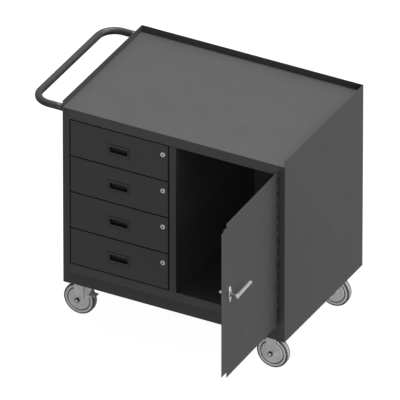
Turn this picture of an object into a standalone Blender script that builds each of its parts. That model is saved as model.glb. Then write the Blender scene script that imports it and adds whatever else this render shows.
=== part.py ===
"""Mobile steel workbench: worktop with raised edges, four drawers, a cupboard with a hinged door,
a tubular push handle and four casters.

The layout is worked in inches from the cabinet's own corner: X to the right from the left side's outer
face, Y back from the front face, Z up from the bottom edge of the body. Meshes are written in metres,
and the finished set is moved so that the origin is on the floor under the middle of the bounding box.
The door stands open, the drawers are shut, and the latch and locks are undone.
"""
import math

import bmesh
import bpy
from mathutils import Matrix, Vector
from mathutils.geometry import tessellate_polygon

INCH = 0.0254

# Sheet and clearances
GAP = 0.012
SHEET = 0.075
THIN = 0.05

# Body
BODY_W = 36.125
BODY_D = 24.25
BODY_H = 30.375
WORKTOP_Z = 29.37
LIP_FRONT_Z = 29.85
LIP_SLOPE_Y = 0.45
OPEN_LOW = 3.37
OPEN_HIGH = 27.70
LEFT_STILE_X = 1.09
CENTRE_STILE_LEFT = 17.37
CENTRE_STILE_RIGHT = 18.45
RIGHT_STILE_X = 35.125
STILE_DEPTH = 0.90
FLOOR_RAIL_LOW = 1.90
BASE_RECESS = 0.02
BASE_SHEET = 0.10
BASE_DEPTH = 4.94

# Drawers, all four the same
DRAWER_COUNT = 4
DRAWER_PITCH = 6.045
DRAWER_FRONT_H = 5.85
DRAWER_LOW_Z = 3.54
DRAWER_FRONT_LEFT = 1.29
DRAWER_FRONT_RIGHT = 17.13
DRAWER_PAN_DEPTH = 0.75
DRAWER_BOX_BACK = 20.90
DRAWER_BOX_LOW = 0.40
DRAWER_BOX_HIGH = 5.30
PULL_X = 9.15
PULL_UP = 2.79
PULL_FRAME_W = 3.58
PULL_FRAME_H = 1.84
PULL_RECESS_W = 2.94
PULL_RECESS_H = 0.93
PULL_DEPTH = 0.60
LOCK_X = 16.36
LOCK_UP = 4.31
LOCK_RING_R = 0.39
LOCK_BODY_R = 0.33
LOCK_PLUG_R = 0.185
LOCK_PROUD = 0.15
LOCK_CAM_LENGTH = 1.30
LOCK_CAM_WIDTH = 0.42
LOCK_CAM_Y = 0.457

# Drawer slides: three nested channels on each side, (start, end, half height) across the slide's width
SLIDE_LEFT = LEFT_STILE_X + 0.002
SLIDE_FRONT = 1.0
SLIDE_BACK = 21.0
SLIDE_UP = 2.20
SLIDE_SPACE = 0.50
SLIDE_MEMBERS = {"outer": (0.0, 0.36, 0.90), "middle": (0.08, 0.40, 0.75), "inner": (0.17, 0.50, 0.60)}
LINER_FRONT = 1.50
LINER_BACK = 20.80

# Door, described shut; it hangs on a continuous hinge at its right edge
DOOR_OPEN_DEG = 91.0
HINGE_X = 34.97
HINGE_Y = -0.145
HINGE_R = 0.13
HINGE_BORE_R = 0.055
HINGE_PIN_R = 0.042
HINGE_LEAF = 0.035
HINGE_LEAF_W = 0.80
HINGE_KNUCKLES = 13
DOOR_FREE_X = 17.42
DOOR_LOW_Z = 2.65
DOOR_HIGH_Z = 28.30
DOOR_OUTER_Y = -0.135
DOOR_NOTCH_W = 1.55
DOOR_NOTCH_H = 0.87
STIFFENER_LEFT = 18.85
STIFFENER_RIGHT = 33.90
STIFFENER_LOW = 4.00
STIFFENER_HIGH = 27.10
STIFFENER_BACK = 0.40

# Door handle
SPINDLE_X = 19.97
SPINDLE_Z = 16.08
SPINDLE_R = 0.24
ESCUTCHEON_H = 2.65
ESCUTCHEON_W = 0.80
ESCUTCHEON_T = 0.14
LEVER_STANDOFF = 1.36
LEVER_LENGTH = 4.45
LEVER_T = 0.34
LATCH_Y = 0.965
LATCH_T = 0.15
LATCH_LENGTH = 2.10
LATCH_WIDTH = 0.50

# Push handle
HANDLE_R = 0.545
HANDLE_WALL = 0.065
HANDLE_FRONT_Y = 0.76
HANDLE_REAR_Y = 23.60
HANDLE_Z = 28.80
HANDLE_REACH = 5.41
HANDLE_BEND = 2.75

# Casters
WHEEL_R = 2.50
WHEEL_HALF = 0.625
AXLE_Z = -3.50
PLATE_HALF = 1.85
PLATE_BOLT = 1.45
CASTER_FRONT_Y = 2.36
CASTER_REAR_Y = 21.49
RIGID_X = 33.10
KINGPIN_X = 3.00
SWIVEL_WHEEL_X = 1.56
LEG_IN = 0.74
LEG_OUT = 0.86
LEG_HALF = 0.79
LEG_TAPER_Z = -2.45
FOOT_R = 0.62
FORK_LEFT = 0.95
FORK_RIGHT = 3.85
BRAKE_X = 3.05
BRAKE_Z = -2.62
PEDAL_LEFT = 3.61
PEDAL_RIGHT = 4.74
PEDAL_Z = -1.84

COLOURS = {
    "body_grey": ((0.060, 0.060, 0.061, 1.0), 0.0, 0.45),
    "door_grey": ((0.058, 0.058, 0.059, 1.0), 0.0, 0.45),
    "drawer_grey": ((0.052, 0.052, 0.053, 1.0), 0.0, 0.45),
    "zinc": ((0.560, 0.565, 0.570, 1.0), 1.0, 0.35),
    "chrome": ((0.800, 0.805, 0.810, 1.0), 1.0, 0.08),
    "black_plastic": ((0.020, 0.020, 0.021, 1.0), 0.0, 0.45),
    "wheel_tread": ((0.330, 0.325, 0.310, 1.0), 0.0, 0.60),
}

AXES = {"X": (1, 2, 0), "Y": (0, 2, 1), "Z": (0, 1, 2)}


def clear_scene():
    for thing in list(bpy.data.objects):
        bpy.data.objects.remove(thing, do_unlink=True)
    for mesh in list(bpy.data.meshes):
        bpy.data.meshes.remove(mesh)
    for material in list(bpy.data.materials):
        bpy.data.materials.remove(material)


def finish_material(node_name, finish):
    colour, metallic, roughness = COLOURS[finish]
    material = bpy.data.materials.new(node_name)
    material.use_nodes = True
    shader = material.node_tree.nodes["Principled BSDF"]
    shader.inputs["Base Color"].default_value = colour
    shader.inputs["Metallic"].default_value = metallic
    shader.inputs["Roughness"].default_value = roughness
    return material


def sheet(solids, voids=(), slope=None):
    """One closed solid from boxes (x0, x1, y0, y1, z0, z1) joined together, less the boxes in voids.

    slope is (y of the front corner, its z, y where the full height starts), for a raised edge that is
    cut back at the front.
    """
    boxes = list(solids) + list(voids)
    lines = []
    for axis in range(3):
        values = set()
        for box in boxes:
            values.add(round(box[2 * axis], 5))
            values.add(round(box[2 * axis + 1], 5))
        if slope and axis == 1:
            values.add(round(slope[2], 5))
        lines.append(sorted(values))
    counts = [len(line) - 1 for line in lines]

    def inside(box, mid):
        return all(box[2 * axis] < mid[axis] < box[2 * axis + 1] for axis in range(3))

    filled = set()
    for i in range(counts[0]):
        for j in range(counts[1]):
            for k in range(counts[2]):
                cell = (i, j, k)
                mid = [(lines[axis][cell[axis]] + lines[axis][cell[axis] + 1]) / 2 for axis in range(3)]
                if any(inside(box, mid) for box in solids) and not any(inside(box, mid) for box in voids):
                    filled.add(cell)
    index = {}
    points = []
    faces = []

    def corner(i, j, k):
        key = (i, j, k)
        if key not in index:
            index[key] = len(points)
            points.append((lines[0][i], lines[1][j], lines[2][k]))
        return index[key]

    for i, j, k in sorted(filled):
        if (i - 1, j, k) not in filled:
            faces.append([corner(i, j, k), corner(i, j, k + 1), corner(i, j + 1, k + 1), corner(i, j + 1, k)])
        if (i + 1, j, k) not in filled:
            faces.append([corner(i + 1, j, k), corner(i + 1, j + 1, k), corner(i + 1, j + 1, k + 1),
                          corner(i + 1, j, k + 1)])
        if (i, j - 1, k) not in filled:
            faces.append([corner(i, j, k), corner(i + 1, j, k), corner(i + 1, j, k + 1), corner(i, j, k + 1)])
        if (i, j + 1, k) not in filled:
            faces.append([corner(i, j + 1, k), corner(i, j + 1, k + 1), corner(i + 1, j + 1, k + 1),
                          corner(i + 1, j + 1, k)])
        if (i, j, k - 1) not in filled:
            faces.append([corner(i, j, k), corner(i, j + 1, k), corner(i + 1, j + 1, k), corner(i + 1, j, k)])
        if (i, j, k + 1) not in filled:
            faces.append([corner(i, j, k + 1), corner(i + 1, j, k + 1), corner(i + 1, j + 1, k + 1),
                          corner(i, j + 1, k + 1)])
    if slope:
        top = max(lines[2])
        for n, (x, y, z) in enumerate(points):
            if abs(y - slope[0]) < 1e-4 and abs(z - top) < 1e-4:
                points[n] = (x, y, slope[1])
    return points, faces


def box(x0, x1, y0, y1, z0, z1):
    return sheet([(x0, x1, y0, y1, z0, z1)])


def prism(loops, axis, low, high):
    """A flat outline, with any holes after it, drawn along an axis from low to high."""
    u, v, w = AXES[axis]
    points = []
    faces = []
    flat = [point for loop in loops for point in loop]
    count = len(flat)
    for level in (low, high):
        for point in flat:
            place = [0.0, 0.0, 0.0]
            place[u] = point[0]
            place[v] = point[1]
            place[w] = level
            points.append(tuple(place))
    if len(loops) == 1:
        caps = [list(range(count))]
    else:
        caps = [list(t) for t in tessellate_polygon([[Vector((p[0], p[1], 0)) for p in loop] for loop in loops])]
    for cap in caps:
        faces.append(cap)
        faces.append([n + count for n in reversed(cap)])
    start = 0
    for loop in loops:
        size = len(loop)
        for n in range(size):
            a = start + n
            b = start + (n + 1) % size
            faces.append([a, b, b + count, a + count])
        start += size
    return points, faces


def circle(cx, cy, radius, segments, start=0.0, turn=2 * math.pi, ends=False):
    steps = segments if not ends else segments - 1
    angles = [start + turn * n / steps for n in range(segments)]
    return [(cx + radius * math.cos(a), cy + radius * math.sin(a)) for a in angles]


def turned(profile, axis, centre, segments, phase=0.0):
    """A closed outline of (radius, height along the axis) points turned about the axis."""
    u, v, w = AXES[axis]
    points = []
    rings = []
    for radius, height in profile:
        ring = []
        if radius < 1e-9:
            place = [0.0, 0.0, 0.0]
            place[u] = centre[u]
            place[v] = centre[v]
            place[w] = centre[w] + height
            ring = [len(points)] * segments
            points.append(tuple(place))
        else:
            for n in range(segments):
                a = phase + 2 * math.pi * n / segments
                place = [0.0, 0.0, 0.0]
                place[u] = centre[u] + radius * math.cos(a)
                place[v] = centre[v] + radius * math.sin(a)
                place[w] = centre[w] + height
                ring.append(len(points))
                points.append(tuple(place))
        rings.append(ring)
    faces = []
    for m in range(len(rings)):
        first = rings[m]
        second = rings[(m + 1) % len(rings)]
        if first[0] == first[1] and second[0] == second[1]:
            continue
        for n in range(segments):
            nxt = (n + 1) % segments
            face = []
            for point in (first[n], first[nxt], second[nxt], second[n]):
                if point not in face:
                    face.append(point)
            faces.append(face)
    return points, faces


def tube(path, outer, inner, segments):
    """A round tube along a path that lies in a level plane, open at both ends."""
    rings = []
    points = []
    for n, point in enumerate(path):
        before = path[max(n - 1, 0)]
        after = path[min(n + 1, len(path) - 1)]
        along = Vector(after) - Vector(before)
        along.normalize()
        side = Vector((-along.y, along.x, 0.0))
        for radius in (outer, inner):
            ring = []
            for m in range(segments):
                a = 2 * math.pi * m / segments
                place = Vector(point) + side * (radius * math.cos(a)) + Vector((0, 0, radius * math.sin(a)))
                ring.append(len(points))
                points.append(tuple(place))
            rings.append(ring)
    faces = []
    last = len(rings)
    for n in range(0, last - 2, 2):
        for m in range(segments):
            nxt = (m + 1) % segments
            faces.append([rings[n][m], rings[n][nxt], rings[n + 2][nxt], rings[n + 2][m]])
            faces.append([rings[n + 1][m], rings[n + 3][m], rings[n + 3][nxt], rings[n + 1][nxt]])
    for n, flip in ((0, False), (last - 2, True)):
        for m in range(segments):
            nxt = (m + 1) % segments
            face = [rings[n][m], rings[n + 1][m], rings[n + 1][nxt], rings[n][nxt]]
            faces.append(face[::-1] if flip else face)
    return points, faces


def mirrored(solid, axis, about):
    points = []
    for point in solid[0]:
        place = list(point)
        place[axis] = 2 * about - place[axis]
        points.append(tuple(place))
    return points, [face[::-1] for face in solid[1]]


def moved(solid, dx, dy, dz):
    return [(x + dx, y + dy, z + dz) for x, y, z in solid[0]], solid[1]


def mesh_of(name, solid, origin):
    """Write a solid into a mesh in metres, measured from origin, closed and facing out."""
    points, faces = solid
    bm = bmesh.new()
    verts = [bm.verts.new([(c - o) * INCH for c, o in zip(point, origin)]) for point in points]
    for face in faces:
        bm.faces.new([verts[n] for n in face])
    bmesh.ops.recalc_face_normals(bm, faces=bm.faces)
    bmesh.ops.dissolve_limit(bm, angle_limit=math.radians(0.5), verts=bm.verts, edges=bm.edges)
    mesh = bpy.data.meshes.new(name)
    bm.to_mesh(mesh)
    bm.free()
    return mesh


def node(name, solid, finish, origin=(0.0, 0.0, 0.0), mesh=None, turn=0.0):
    mesh = mesh or mesh_of(name, solid, origin)
    thing = bpy.data.objects.new(name, mesh)
    bpy.context.scene.collection.objects.link(thing)
    thing.location = [c * INCH for c in origin]
    thing.rotation_euler = (0.0, 0.0, turn)
    if not mesh.materials:
        mesh.materials.append(finish_material(name, finish))
    return thing


def joined(name, solids):
    """Boolean union of overlapping solids, returned as one solid in inches."""
    things = []
    for n, solid in enumerate(solids):
        thing = bpy.data.objects.new("%s_%d" % (name, n), mesh_of("%s_%d" % (name, n), solid, (0, 0, 0)))
        bpy.context.scene.collection.objects.link(thing)
        things.append(thing)
    for thing in things[1:]:
        union = things[0].modifiers.new("join", "BOOLEAN")
        union.operation = "UNION"
        union.solver = "EXACT"
        union.object = thing
        thing.hide_render = True
        thing.display_type = "WIRE"
    result = bpy.data.meshes.new_from_object(things[0].evaluated_get(bpy.context.evaluated_depsgraph_get()))
    points = [tuple(c / INCH for c in vert.co) for vert in result.vertices]
    faces = [list(face.vertices) for face in result.polygons]
    for thing in things:
        mesh = thing.data
        bpy.data.objects.remove(thing, do_unlink=True)
        bpy.data.meshes.remove(mesh)
    bpy.data.meshes.remove(result)
    return points, faces


def drawer_low(n):
    """Bottom of the front of drawer n, counted from 1 at the top."""
    return DRAWER_LOW_Z + (DRAWER_COUNT - n) * DRAWER_PITCH


# ---------------------------------------------------------------- body

def build_body():
    inner_left = SHEET + GAP
    inner_right = BODY_W - SHEET - GAP
    inner_back = BODY_D - SHEET - GAP
    rail_left = LEFT_STILE_X + GAP
    rail_right = RIGHT_STILE_X - GAP
    post_top = WORKTOP_Z - SHEET - GAP
    stile_top = OPEN_HIGH - GAP
    lip = (0.0, LIP_FRONT_Z, LIP_SLOPE_Y)

    node("worktop", sheet([
        (inner_left, inner_right, 0.0, inner_back, WORKTOP_Z - SHEET, WORKTOP_Z),
        (rail_left, rail_right, 0.0, SHEET, OPEN_HIGH, WORKTOP_Z),
        (rail_left, rail_right, 0.0, STILE_DEPTH, OPEN_HIGH, OPEN_HIGH + SHEET),
    ]), "body_grey")

    node("left_side", sheet([
        (0.0, SHEET, 0.0, BODY_D, 0.0, BODY_H),
        (0.0, LEFT_STILE_X, 0.0, SHEET, 0.0, post_top),
        (LEFT_STILE_X - SHEET, LEFT_STILE_X, 0.0, STILE_DEPTH, 0.0, post_top),
    ], slope=lip), "body_grey")

    node("right_side", sheet([
        (BODY_W - SHEET, BODY_W, 0.0, BODY_D, 0.0, BODY_H),
        (RIGHT_STILE_X, BODY_W, 0.0, SHEET, 0.0, post_top),
        (RIGHT_STILE_X, RIGHT_STILE_X + SHEET, 0.0, STILE_DEPTH, 0.0, post_top),
    ], slope=lip), "body_grey")

    node("back_panel", box(inner_left, inner_right, BODY_D - SHEET, BODY_D, 0.0, BODY_H), "body_grey")

    node("floor_panel", sheet([
        (rail_left, rail_right, 0.0, inner_back, OPEN_LOW - SHEET, OPEN_LOW),
        (inner_left, inner_right, STILE_DEPTH + 2 * GAP, inner_back, OPEN_LOW - SHEET, OPEN_LOW),
        (rail_left, rail_right, 0.0, SHEET, FLOOR_RAIL_LOW, OPEN_LOW),
    ]), "body_grey")

    wall_left = CENTRE_STILE_RIGHT - SHEET
    low = OPEN_LOW + GAP
    behind = STILE_DEPTH + 2 * GAP
    slots = [(CENTRE_STILE_LEFT - 0.1, CENTRE_STILE_LEFT + SHEET + 0.1, LOCK_CAM_Y - 0.06, LOCK_CAM_Y + 0.16,
              drawer_low(n) + LOCK_UP - 0.90, drawer_low(n) + LOCK_UP + 0.27)
             for n in range(1, DRAWER_COUNT + 1)]
    latch_slot = (wall_left - 0.1, CENTRE_STILE_RIGHT + 0.1, LATCH_Y - 0.045, LATCH_Y + LATCH_T + 0.07,
                  SPINDLE_Z - 1.60, SPINDLE_Z + 0.36)
    node("centre_divider", sheet([
        (CENTRE_STILE_LEFT, CENTRE_STILE_RIGHT, 0.0, SHEET, low, stile_top),
        (CENTRE_STILE_LEFT, CENTRE_STILE_LEFT + SHEET, 0.0, STILE_DEPTH, low, stile_top),
        (wall_left, CENTRE_STILE_RIGHT, 0.0, behind, low, stile_top),
        (wall_left, CENTRE_STILE_RIGHT, behind, inner_back, low, post_top),
    ], slots + [latch_slot]), "body_grey")

    hole = 0.165
    voids = [(x + sx * PLATE_BOLT - hole, x + sx * PLATE_BOLT + hole,
              CASTER_FRONT_Y + sy * PLATE_BOLT - hole, CASTER_FRONT_Y + sy * PLATE_BOLT + hole,
              -0.1, BASE_SHEET + 0.1) for x in (KINGPIN_X, RIGID_X) for sx in (-1, 1) for sy in (-1, 1)]
    front = sheet([
        (rail_left, rail_right, BASE_RECESS, BASE_RECESS + BASE_SHEET, 0.0, FLOOR_RAIL_LOW - GAP),
        (rail_left, rail_right, BASE_RECESS, BASE_RECESS + BASE_DEPTH, 0.0, BASE_SHEET),
        (rail_left, rail_right, BASE_RECESS, BASE_RECESS + 1.5, FLOOR_RAIL_LOW - GAP - BASE_SHEET,
         FLOOR_RAIL_LOW - GAP),
    ], voids)
    node("base_channel_front", front, "body_grey")
    node("base_channel_rear", mirrored(front, 1, (CASTER_FRONT_Y + CASTER_REAR_Y) / 2), "body_grey")

    node("slide_liner_left", slide_liner(inner_left, low, stile_top, SLIDE_LEFT, 1), "body_grey")
    node("slide_liner_right", slide_liner(wall_left - GAP, low, stile_top, CENTRE_STILE_LEFT, -1), "body_grey")

    path = [(-GAP, HANDLE_FRONT_Y, HANDLE_Z)]
    for start, cy in ((270, HANDLE_FRONT_Y + HANDLE_BEND), (180, HANDLE_REAR_Y - HANDLE_BEND)):
        for n in range(7):
            a = math.radians(start - 15 * n)
            path.append((-HANDLE_REACH + HANDLE_BEND + HANDLE_BEND * math.cos(a),
                         cy + HANDLE_BEND * math.sin(a), HANDLE_Z))
    path.append((-GAP, HANDLE_REAR_Y, HANDLE_Z))
    node("push_handle", tube(path, HANDLE_R, HANDLE_R - HANDLE_WALL, 12), "body_grey")


# ---------------------------------------------------------------- drawers

def slide_boxes(kind, low, base, way):
    """Boxes of one slide member; base is the face it is fixed to and way points towards the drawer."""
    mid = low + SLIDE_UP
    x0, x1, half = SLIDE_MEMBERS[kind]
    web = (x1 - THIN, x1) if kind == "inner" else (x0, x0 + THIN)
    spans = [(web, mid - half, mid + half), ((x0, x1), mid + half - THIN, mid + half),
             ((x0, x1), mid - half, mid - half + THIN)]
    boxes = []
    for span, z0, z1 in spans:
        ends = sorted(base + way * x for x in span)
        boxes.append((ends[0], ends[1], SLIDE_FRONT, SLIDE_BACK, z0, z1))
    return boxes


def slide_liner(back, low, top, base, way):
    """Upright liner sheet, folded at both ends, with the fixed slide members of the four drawers on it."""
    face = sorted((base, base - way * SHEET))
    fold = sorted((base, back))
    boxes = [(face[0], face[1], LINER_FRONT, LINER_BACK, low, top),
             (fold[0], fold[1], LINER_FRONT, LINER_FRONT + SHEET, low, top),
             (fold[0], fold[1], LINER_BACK - SHEET, LINER_BACK, low, top)]
    for n in range(1, DRAWER_COUNT + 1):
        boxes += slide_boxes("outer", drawer_low(n), base, way)
    return sheet(boxes)


def drawer_front(low):
    left, right, high = DRAWER_FRONT_LEFT, DRAWER_FRONT_RIGHT, low + DRAWER_FRONT_H
    pull_z = low + PULL_UP
    half_w = PULL_RECESS_W / 2 + 0.055
    half_h = PULL_RECESS_H / 2 + 0.055
    lock_z = low + LOCK_UP
    hole = LOCK_BODY_R + 0.02
    return sheet([
        (left, right, 0.0, SHEET, low, high),
        (left, left + SHEET, 0.0, DRAWER_PAN_DEPTH, low, high),
        (right - SHEET, right, 0.0, DRAWER_PAN_DEPTH, low, high),
        (left, right, 0.0, DRAWER_PAN_DEPTH, low, low + SHEET),
        (left, right, 0.0, DRAWER_PAN_DEPTH, high - SHEET, high),
    ], [
        (PULL_X - half_w, PULL_X + half_w, -0.1, 0.2, pull_z - half_h, pull_z + half_h),
        (LOCK_X - hole, LOCK_X + hole, -0.1, 0.2, lock_z - hole, lock_z + hole),
        (right - SHEET - 0.1, right + 0.1, LOCK_CAM_Y - 0.06, LOCK_CAM_Y + 0.16, lock_z - 1.20, lock_z + 0.27),
    ])


def drawer_box(low):
    """Open box with the moving slide members on its two sides."""
    front = DRAWER_PAN_DEPTH + 0.015
    z0, z1 = low + DRAWER_BOX_LOW, low + DRAWER_BOX_HIGH
    x0, x1, y1 = SLIDE_LEFT + SLIDE_SPACE, CENTRE_STILE_LEFT - SLIDE_SPACE, DRAWER_BOX_BACK
    rails = slide_boxes("inner", low, SLIDE_LEFT, 1) + slide_boxes("inner", low, CENTRE_STILE_LEFT, -1)
    return sheet([(x0, x1, front, y1, z0, z1)] + rails,
                 [(x0 + THIN, x1 - THIN, front + THIN, y1 - THIN, z0 + THIN, z1 + 1.0)])


def drawer_pull(low):
    z = low + PULL_UP
    frame = (PULL_X - PULL_FRAME_W / 2, PULL_X + PULL_FRAME_W / 2, -GAP - 0.05, -GAP,
             z - PULL_FRAME_H / 2, z + PULL_FRAME_H / 2)
    w, h = PULL_RECESS_W / 2, PULL_RECESS_H / 2
    cup = (PULL_X - w - 0.04, PULL_X + w + 0.04, -GAP - 0.05, PULL_DEPTH, z - h - 0.04, z + h + 0.04)
    hollow = (PULL_X - w, PULL_X + w, -0.3, PULL_DEPTH - 0.04, z - h, z + h)
    return sheet([frame, cup], [hollow])


def lock_barrel(low):
    bore = LOCK_PLUG_R + 0.015
    profile = [(LOCK_RING_R - 0.06, -LOCK_PROUD), (LOCK_RING_R, -LOCK_PROUD + 0.06), (LOCK_RING_R, -GAP),
               (LOCK_BODY_R, -GAP), (LOCK_BODY_R, 0.42), (bore, 0.42), (bore, -LOCK_PROUD)]
    return turned(profile, "Y", (LOCK_X, 0.0, low + LOCK_UP), 16)


def lock_plug(low):
    """Keyed plug with its cam, the cam hanging down."""
    centre = (LOCK_X, 0.0, low + LOCK_UP)
    half = LOCK_CAM_WIDTH / 2
    z = centre[2]
    plug = turned([(0.0, -LOCK_PROUD + 0.015), (LOCK_PLUG_R, -LOCK_PROUD + 0.015), (LOCK_PLUG_R, 0.44),
                   (0.15, 0.44), (0.15, 0.63), (0.0, 0.63)], "Y", centre, 12)
    cam = prism([[(LOCK_X - half, z + half), (LOCK_X + half, z + half), (LOCK_X + half, z - LOCK_CAM_LENGTH + 0.1),
                  (LOCK_X + half - 0.1, z - LOCK_CAM_LENGTH), (LOCK_X - half + 0.1, z - LOCK_CAM_LENGTH),
                  (LOCK_X - half, z - LOCK_CAM_LENGTH + 0.1)]], "Y", LOCK_CAM_Y, LOCK_CAM_Y + 0.08)
    return joined("plug", [plug, cam])


def build_drawers():
    shared = {}
    top = drawer_low(1)
    for n in range(1, DRAWER_COUNT + 1):
        origin = (LOCK_X, 0.0, drawer_low(n) + LOCK_UP)
        pieces = {
            "front": (drawer_front, "drawer_grey"),
            "box": (drawer_box, "body_grey"),
            "pull": (drawer_pull, "black_plastic"),
            "lock_barrel": (lock_barrel, "chrome"),
            "lock_plug": (lock_plug, "zinc"),
            "slide_left": (lambda low: sheet(slide_boxes("middle", low, SLIDE_LEFT, 1)), "zinc"),
            "slide_right": (lambda low: sheet(slide_boxes("middle", low, CENTRE_STILE_LEFT, -1)), "zinc"),
        }
        for kind, (make, finish) in pieces.items():
            name = "drawer_%d_%s" % (n, kind)
            if kind in shared:
                node(name, None, finish, origin, mesh=shared[kind])
            else:
                shared[kind] = node(name, make(top), finish, origin).data


# ---------------------------------------------------------------- door

def hinge_knuckles(first, loops):
    """Every second knuckle of the hinge from knuckle first, along the pin, each from the same outline."""
    length = (DOOR_HIGH_Z - DOOR_LOW_Z) / HINGE_KNUCKLES
    return [prism(loops, "Z", DOOR_LOW_Z + n * length + 0.01, DOOR_LOW_Z + (n + 1) * length - 0.01)
            for n in range(first, HINGE_KNUCKLES, 2)]


def knuckle_outline():
    """Knuckle with the start of its leaf, the leaf running towards +Y on the +X side."""
    x0, x1 = HINGE_R - HINGE_LEAF, HINGE_R - 0.001
    y0, y1 = math.sqrt(HINGE_R ** 2 - x0 ** 2), math.sqrt(HINGE_R ** 2 - x1 ** 2)
    start = math.atan2(y0, x0)
    stop = math.atan2(y1, x1) + 2 * math.pi
    arc = circle(0.0, 0.0, HINGE_R, 13, start, stop - start, ends=True)
    return [(x1, 0.20), (x0, 0.20)] + arc


def build_hinge():
    """Both leaves are drawn about the pin, with the door shut. The pin is fixed in the frame's leaf."""
    outline = knuckle_outline()
    x0, x1 = HINGE_R - HINGE_LEAF - 0.001, HINGE_R
    clear = HINGE_R + 0.015
    strip = box(x0, x1, clear, HINGE_LEAF_W, OPEN_LOW + 0.06, OPEN_HIGH - 0.06)
    pin = turned([(0.0, DOOR_LOW_Z), (HINGE_PIN_R, DOOR_LOW_Z), (HINGE_PIN_R, DOOR_HIGH_Z), (0.0, DOOR_HIGH_Z)],
                 "Z", (0.0, 0.0, 0.0), 8)
    frame_leaf = joined("frame_leaf", [strip] + hinge_knuckles(1, [outline]) + [pin])
    node("hinge_frame_leaf", moved(frame_leaf, HINGE_X, HINGE_Y, 0.0), "body_grey")

    quarter = [(-v, u) for u, v in outline]
    bore = circle(0.0, 0.0, HINGE_BORE_R, 8)
    strip = box(-HINGE_LEAF_W, -clear, x0, x1, DOOR_LOW_Z + 0.05, DOOR_HIGH_Z - 0.05)
    door_leaf = joined("door_leaf", [strip] + hinge_knuckles(0, [quarter, bore]))
    return moved(door_leaf, HINGE_X, HINGE_Y, 0.0)


def build_door():
    angle = math.radians(DOOR_OPEN_DEG)
    pivot = (HINGE_X, HINGE_Y, 0.0)
    inner = DOOR_OUTER_Y + SHEET
    edge = HINGE_X - HINGE_R - 0.015
    low, high = DOOR_LOW_Z, DOOR_HIGH_Z
    free = DOOR_FREE_X
    notch = free + DOOR_NOTCH_W
    hole = circle(SPINDLE_X, SPINDLE_Z, SPINDLE_R + 0.03, 12)

    outline = [(notch, low), (edge, low), (edge, high), (notch, high), (notch, high - DOOR_NOTCH_H),
               (free, high - DOOR_NOTCH_H), (free, low + DOOR_NOTCH_H), (notch, low + DOOR_NOTCH_H)]
    skin = prism([outline, hole], "Y", DOOR_OUTER_Y, inner)
    node("door_skin", skin, "door_grey", pivot, turn=angle)

    half = 0.40
    pan = sheet([(STIFFENER_LEFT, STIFFENER_RIGHT, inner + GAP, STIFFENER_BACK, STIFFENER_LOW, STIFFENER_HIGH)],
                [(STIFFENER_LEFT + THIN, STIFFENER_RIGHT - THIN, -1.0, STIFFENER_BACK - THIN,
                  STIFFENER_LOW + THIN, STIFFENER_HIGH - THIN),
                 (SPINDLE_X - half, SPINDLE_X + half, 0.0, 1.0, SPINDLE_Z - half, SPINDLE_Z + half)])
    node("door_stiffener", pan, "door_grey", pivot, turn=angle)
    node("hinge_door_leaf", build_hinge(), "body_grey", pivot, turn=angle)

    plate_y = DOOR_OUTER_Y - GAP
    rim = [(SPINDLE_X + x * ESCUTCHEON_W, SPINDLE_Z + z * ESCUTCHEON_H) for x, z in circle(0.0, 0.0, 0.5, 24)]
    plate = prism([rim, circle(SPINDLE_X, SPINDLE_Z, SPINDLE_R + 0.015, 12)], "Y", plate_y - ESCUTCHEON_T, plate_y)
    node("handle_escutcheon", plate, "chrome", pivot, turn=angle)

    # The lever and its latch turn together about the spindle, which runs square to the door.
    spindle = Matrix.Rotation(angle, 3, "Z") @ Vector((SPINDLE_X - HINGE_X, 0.0, 0.0))
    place = (HINGE_X + spindle.x, HINGE_Y + spindle.y, SPINDLE_Z)
    shut = (SPINDLE_X, HINGE_Y, SPINDLE_Z)
    back = LATCH_Y + LATCH_T
    arm_out = DOOR_OUTER_Y - LEVER_STANDOFF
    arm_in = arm_out + LEVER_T
    centre = (SPINDLE_X, 0.0, SPINDLE_Z)
    shaft = turned([(0.0, arm_out + 0.1), (SPINDLE_R, arm_out + 0.1), (SPINDLE_R, LATCH_Y - GAP),
                    (0.0, LATCH_Y - GAP)], "Y", centre, 12)
    x, z = SPINDLE_X, SPINDLE_Z
    length = LEVER_LENGTH
    hub = circle(x, z, 0.33, 7, math.radians(60), math.radians(240), ends=True)
    grip = [(x + 0.6, z - 0.24), (x + length - 0.15, z - 0.07), (x + length, z + 0.03), (x + length, z + 0.18),
            (x + length - 0.15, z + 0.28), (x + 0.6, z + 0.20)]
    arm = prism([hub + grip], "Y", arm_out, arm_in)
    lever = node("door_lever", joined("lever", [arm, shaft]), "chrome", shut, turn=angle)
    lever.location = [c * INCH for c in place]

    half = LATCH_WIDTH / 2
    tip = z - LATCH_LENGTH
    cam = prism([[(x - half, z + half), (x + half, z + half), (x + half, tip + 0.15), (x + half - 0.15, tip),
                  (x - half + 0.15, tip), (x - half, tip + 0.15)]], "Y", LATCH_Y, back)
    nut = turned([(0.0, back - 0.05), (0.24, back - 0.05), (0.24, back + 0.42), (0.0, back + 0.42)], "Y", centre, 6)
    latch = node("latch_cam", joined("latch", [cam, nut]), "zinc", shut, turn=angle)
    latch.location = [c * INCH for c in place]


# ---------------------------------------------------------------- casters

def rigid_leg(x, top):
    """Outline of a rigid caster's leg in the X-Z plane: straight sides drawn in to a foot about the axle."""
    foot = circle(x, AXLE_Z, FOOT_R, 11, math.radians(175), math.radians(190), ends=True)
    return [[(x + LEG_HALF, LEG_TAPER_Z), (x + LEG_HALF, top), (x - LEG_HALF, top), (x - LEG_HALF, LEG_TAPER_Z)] + foot]


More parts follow.
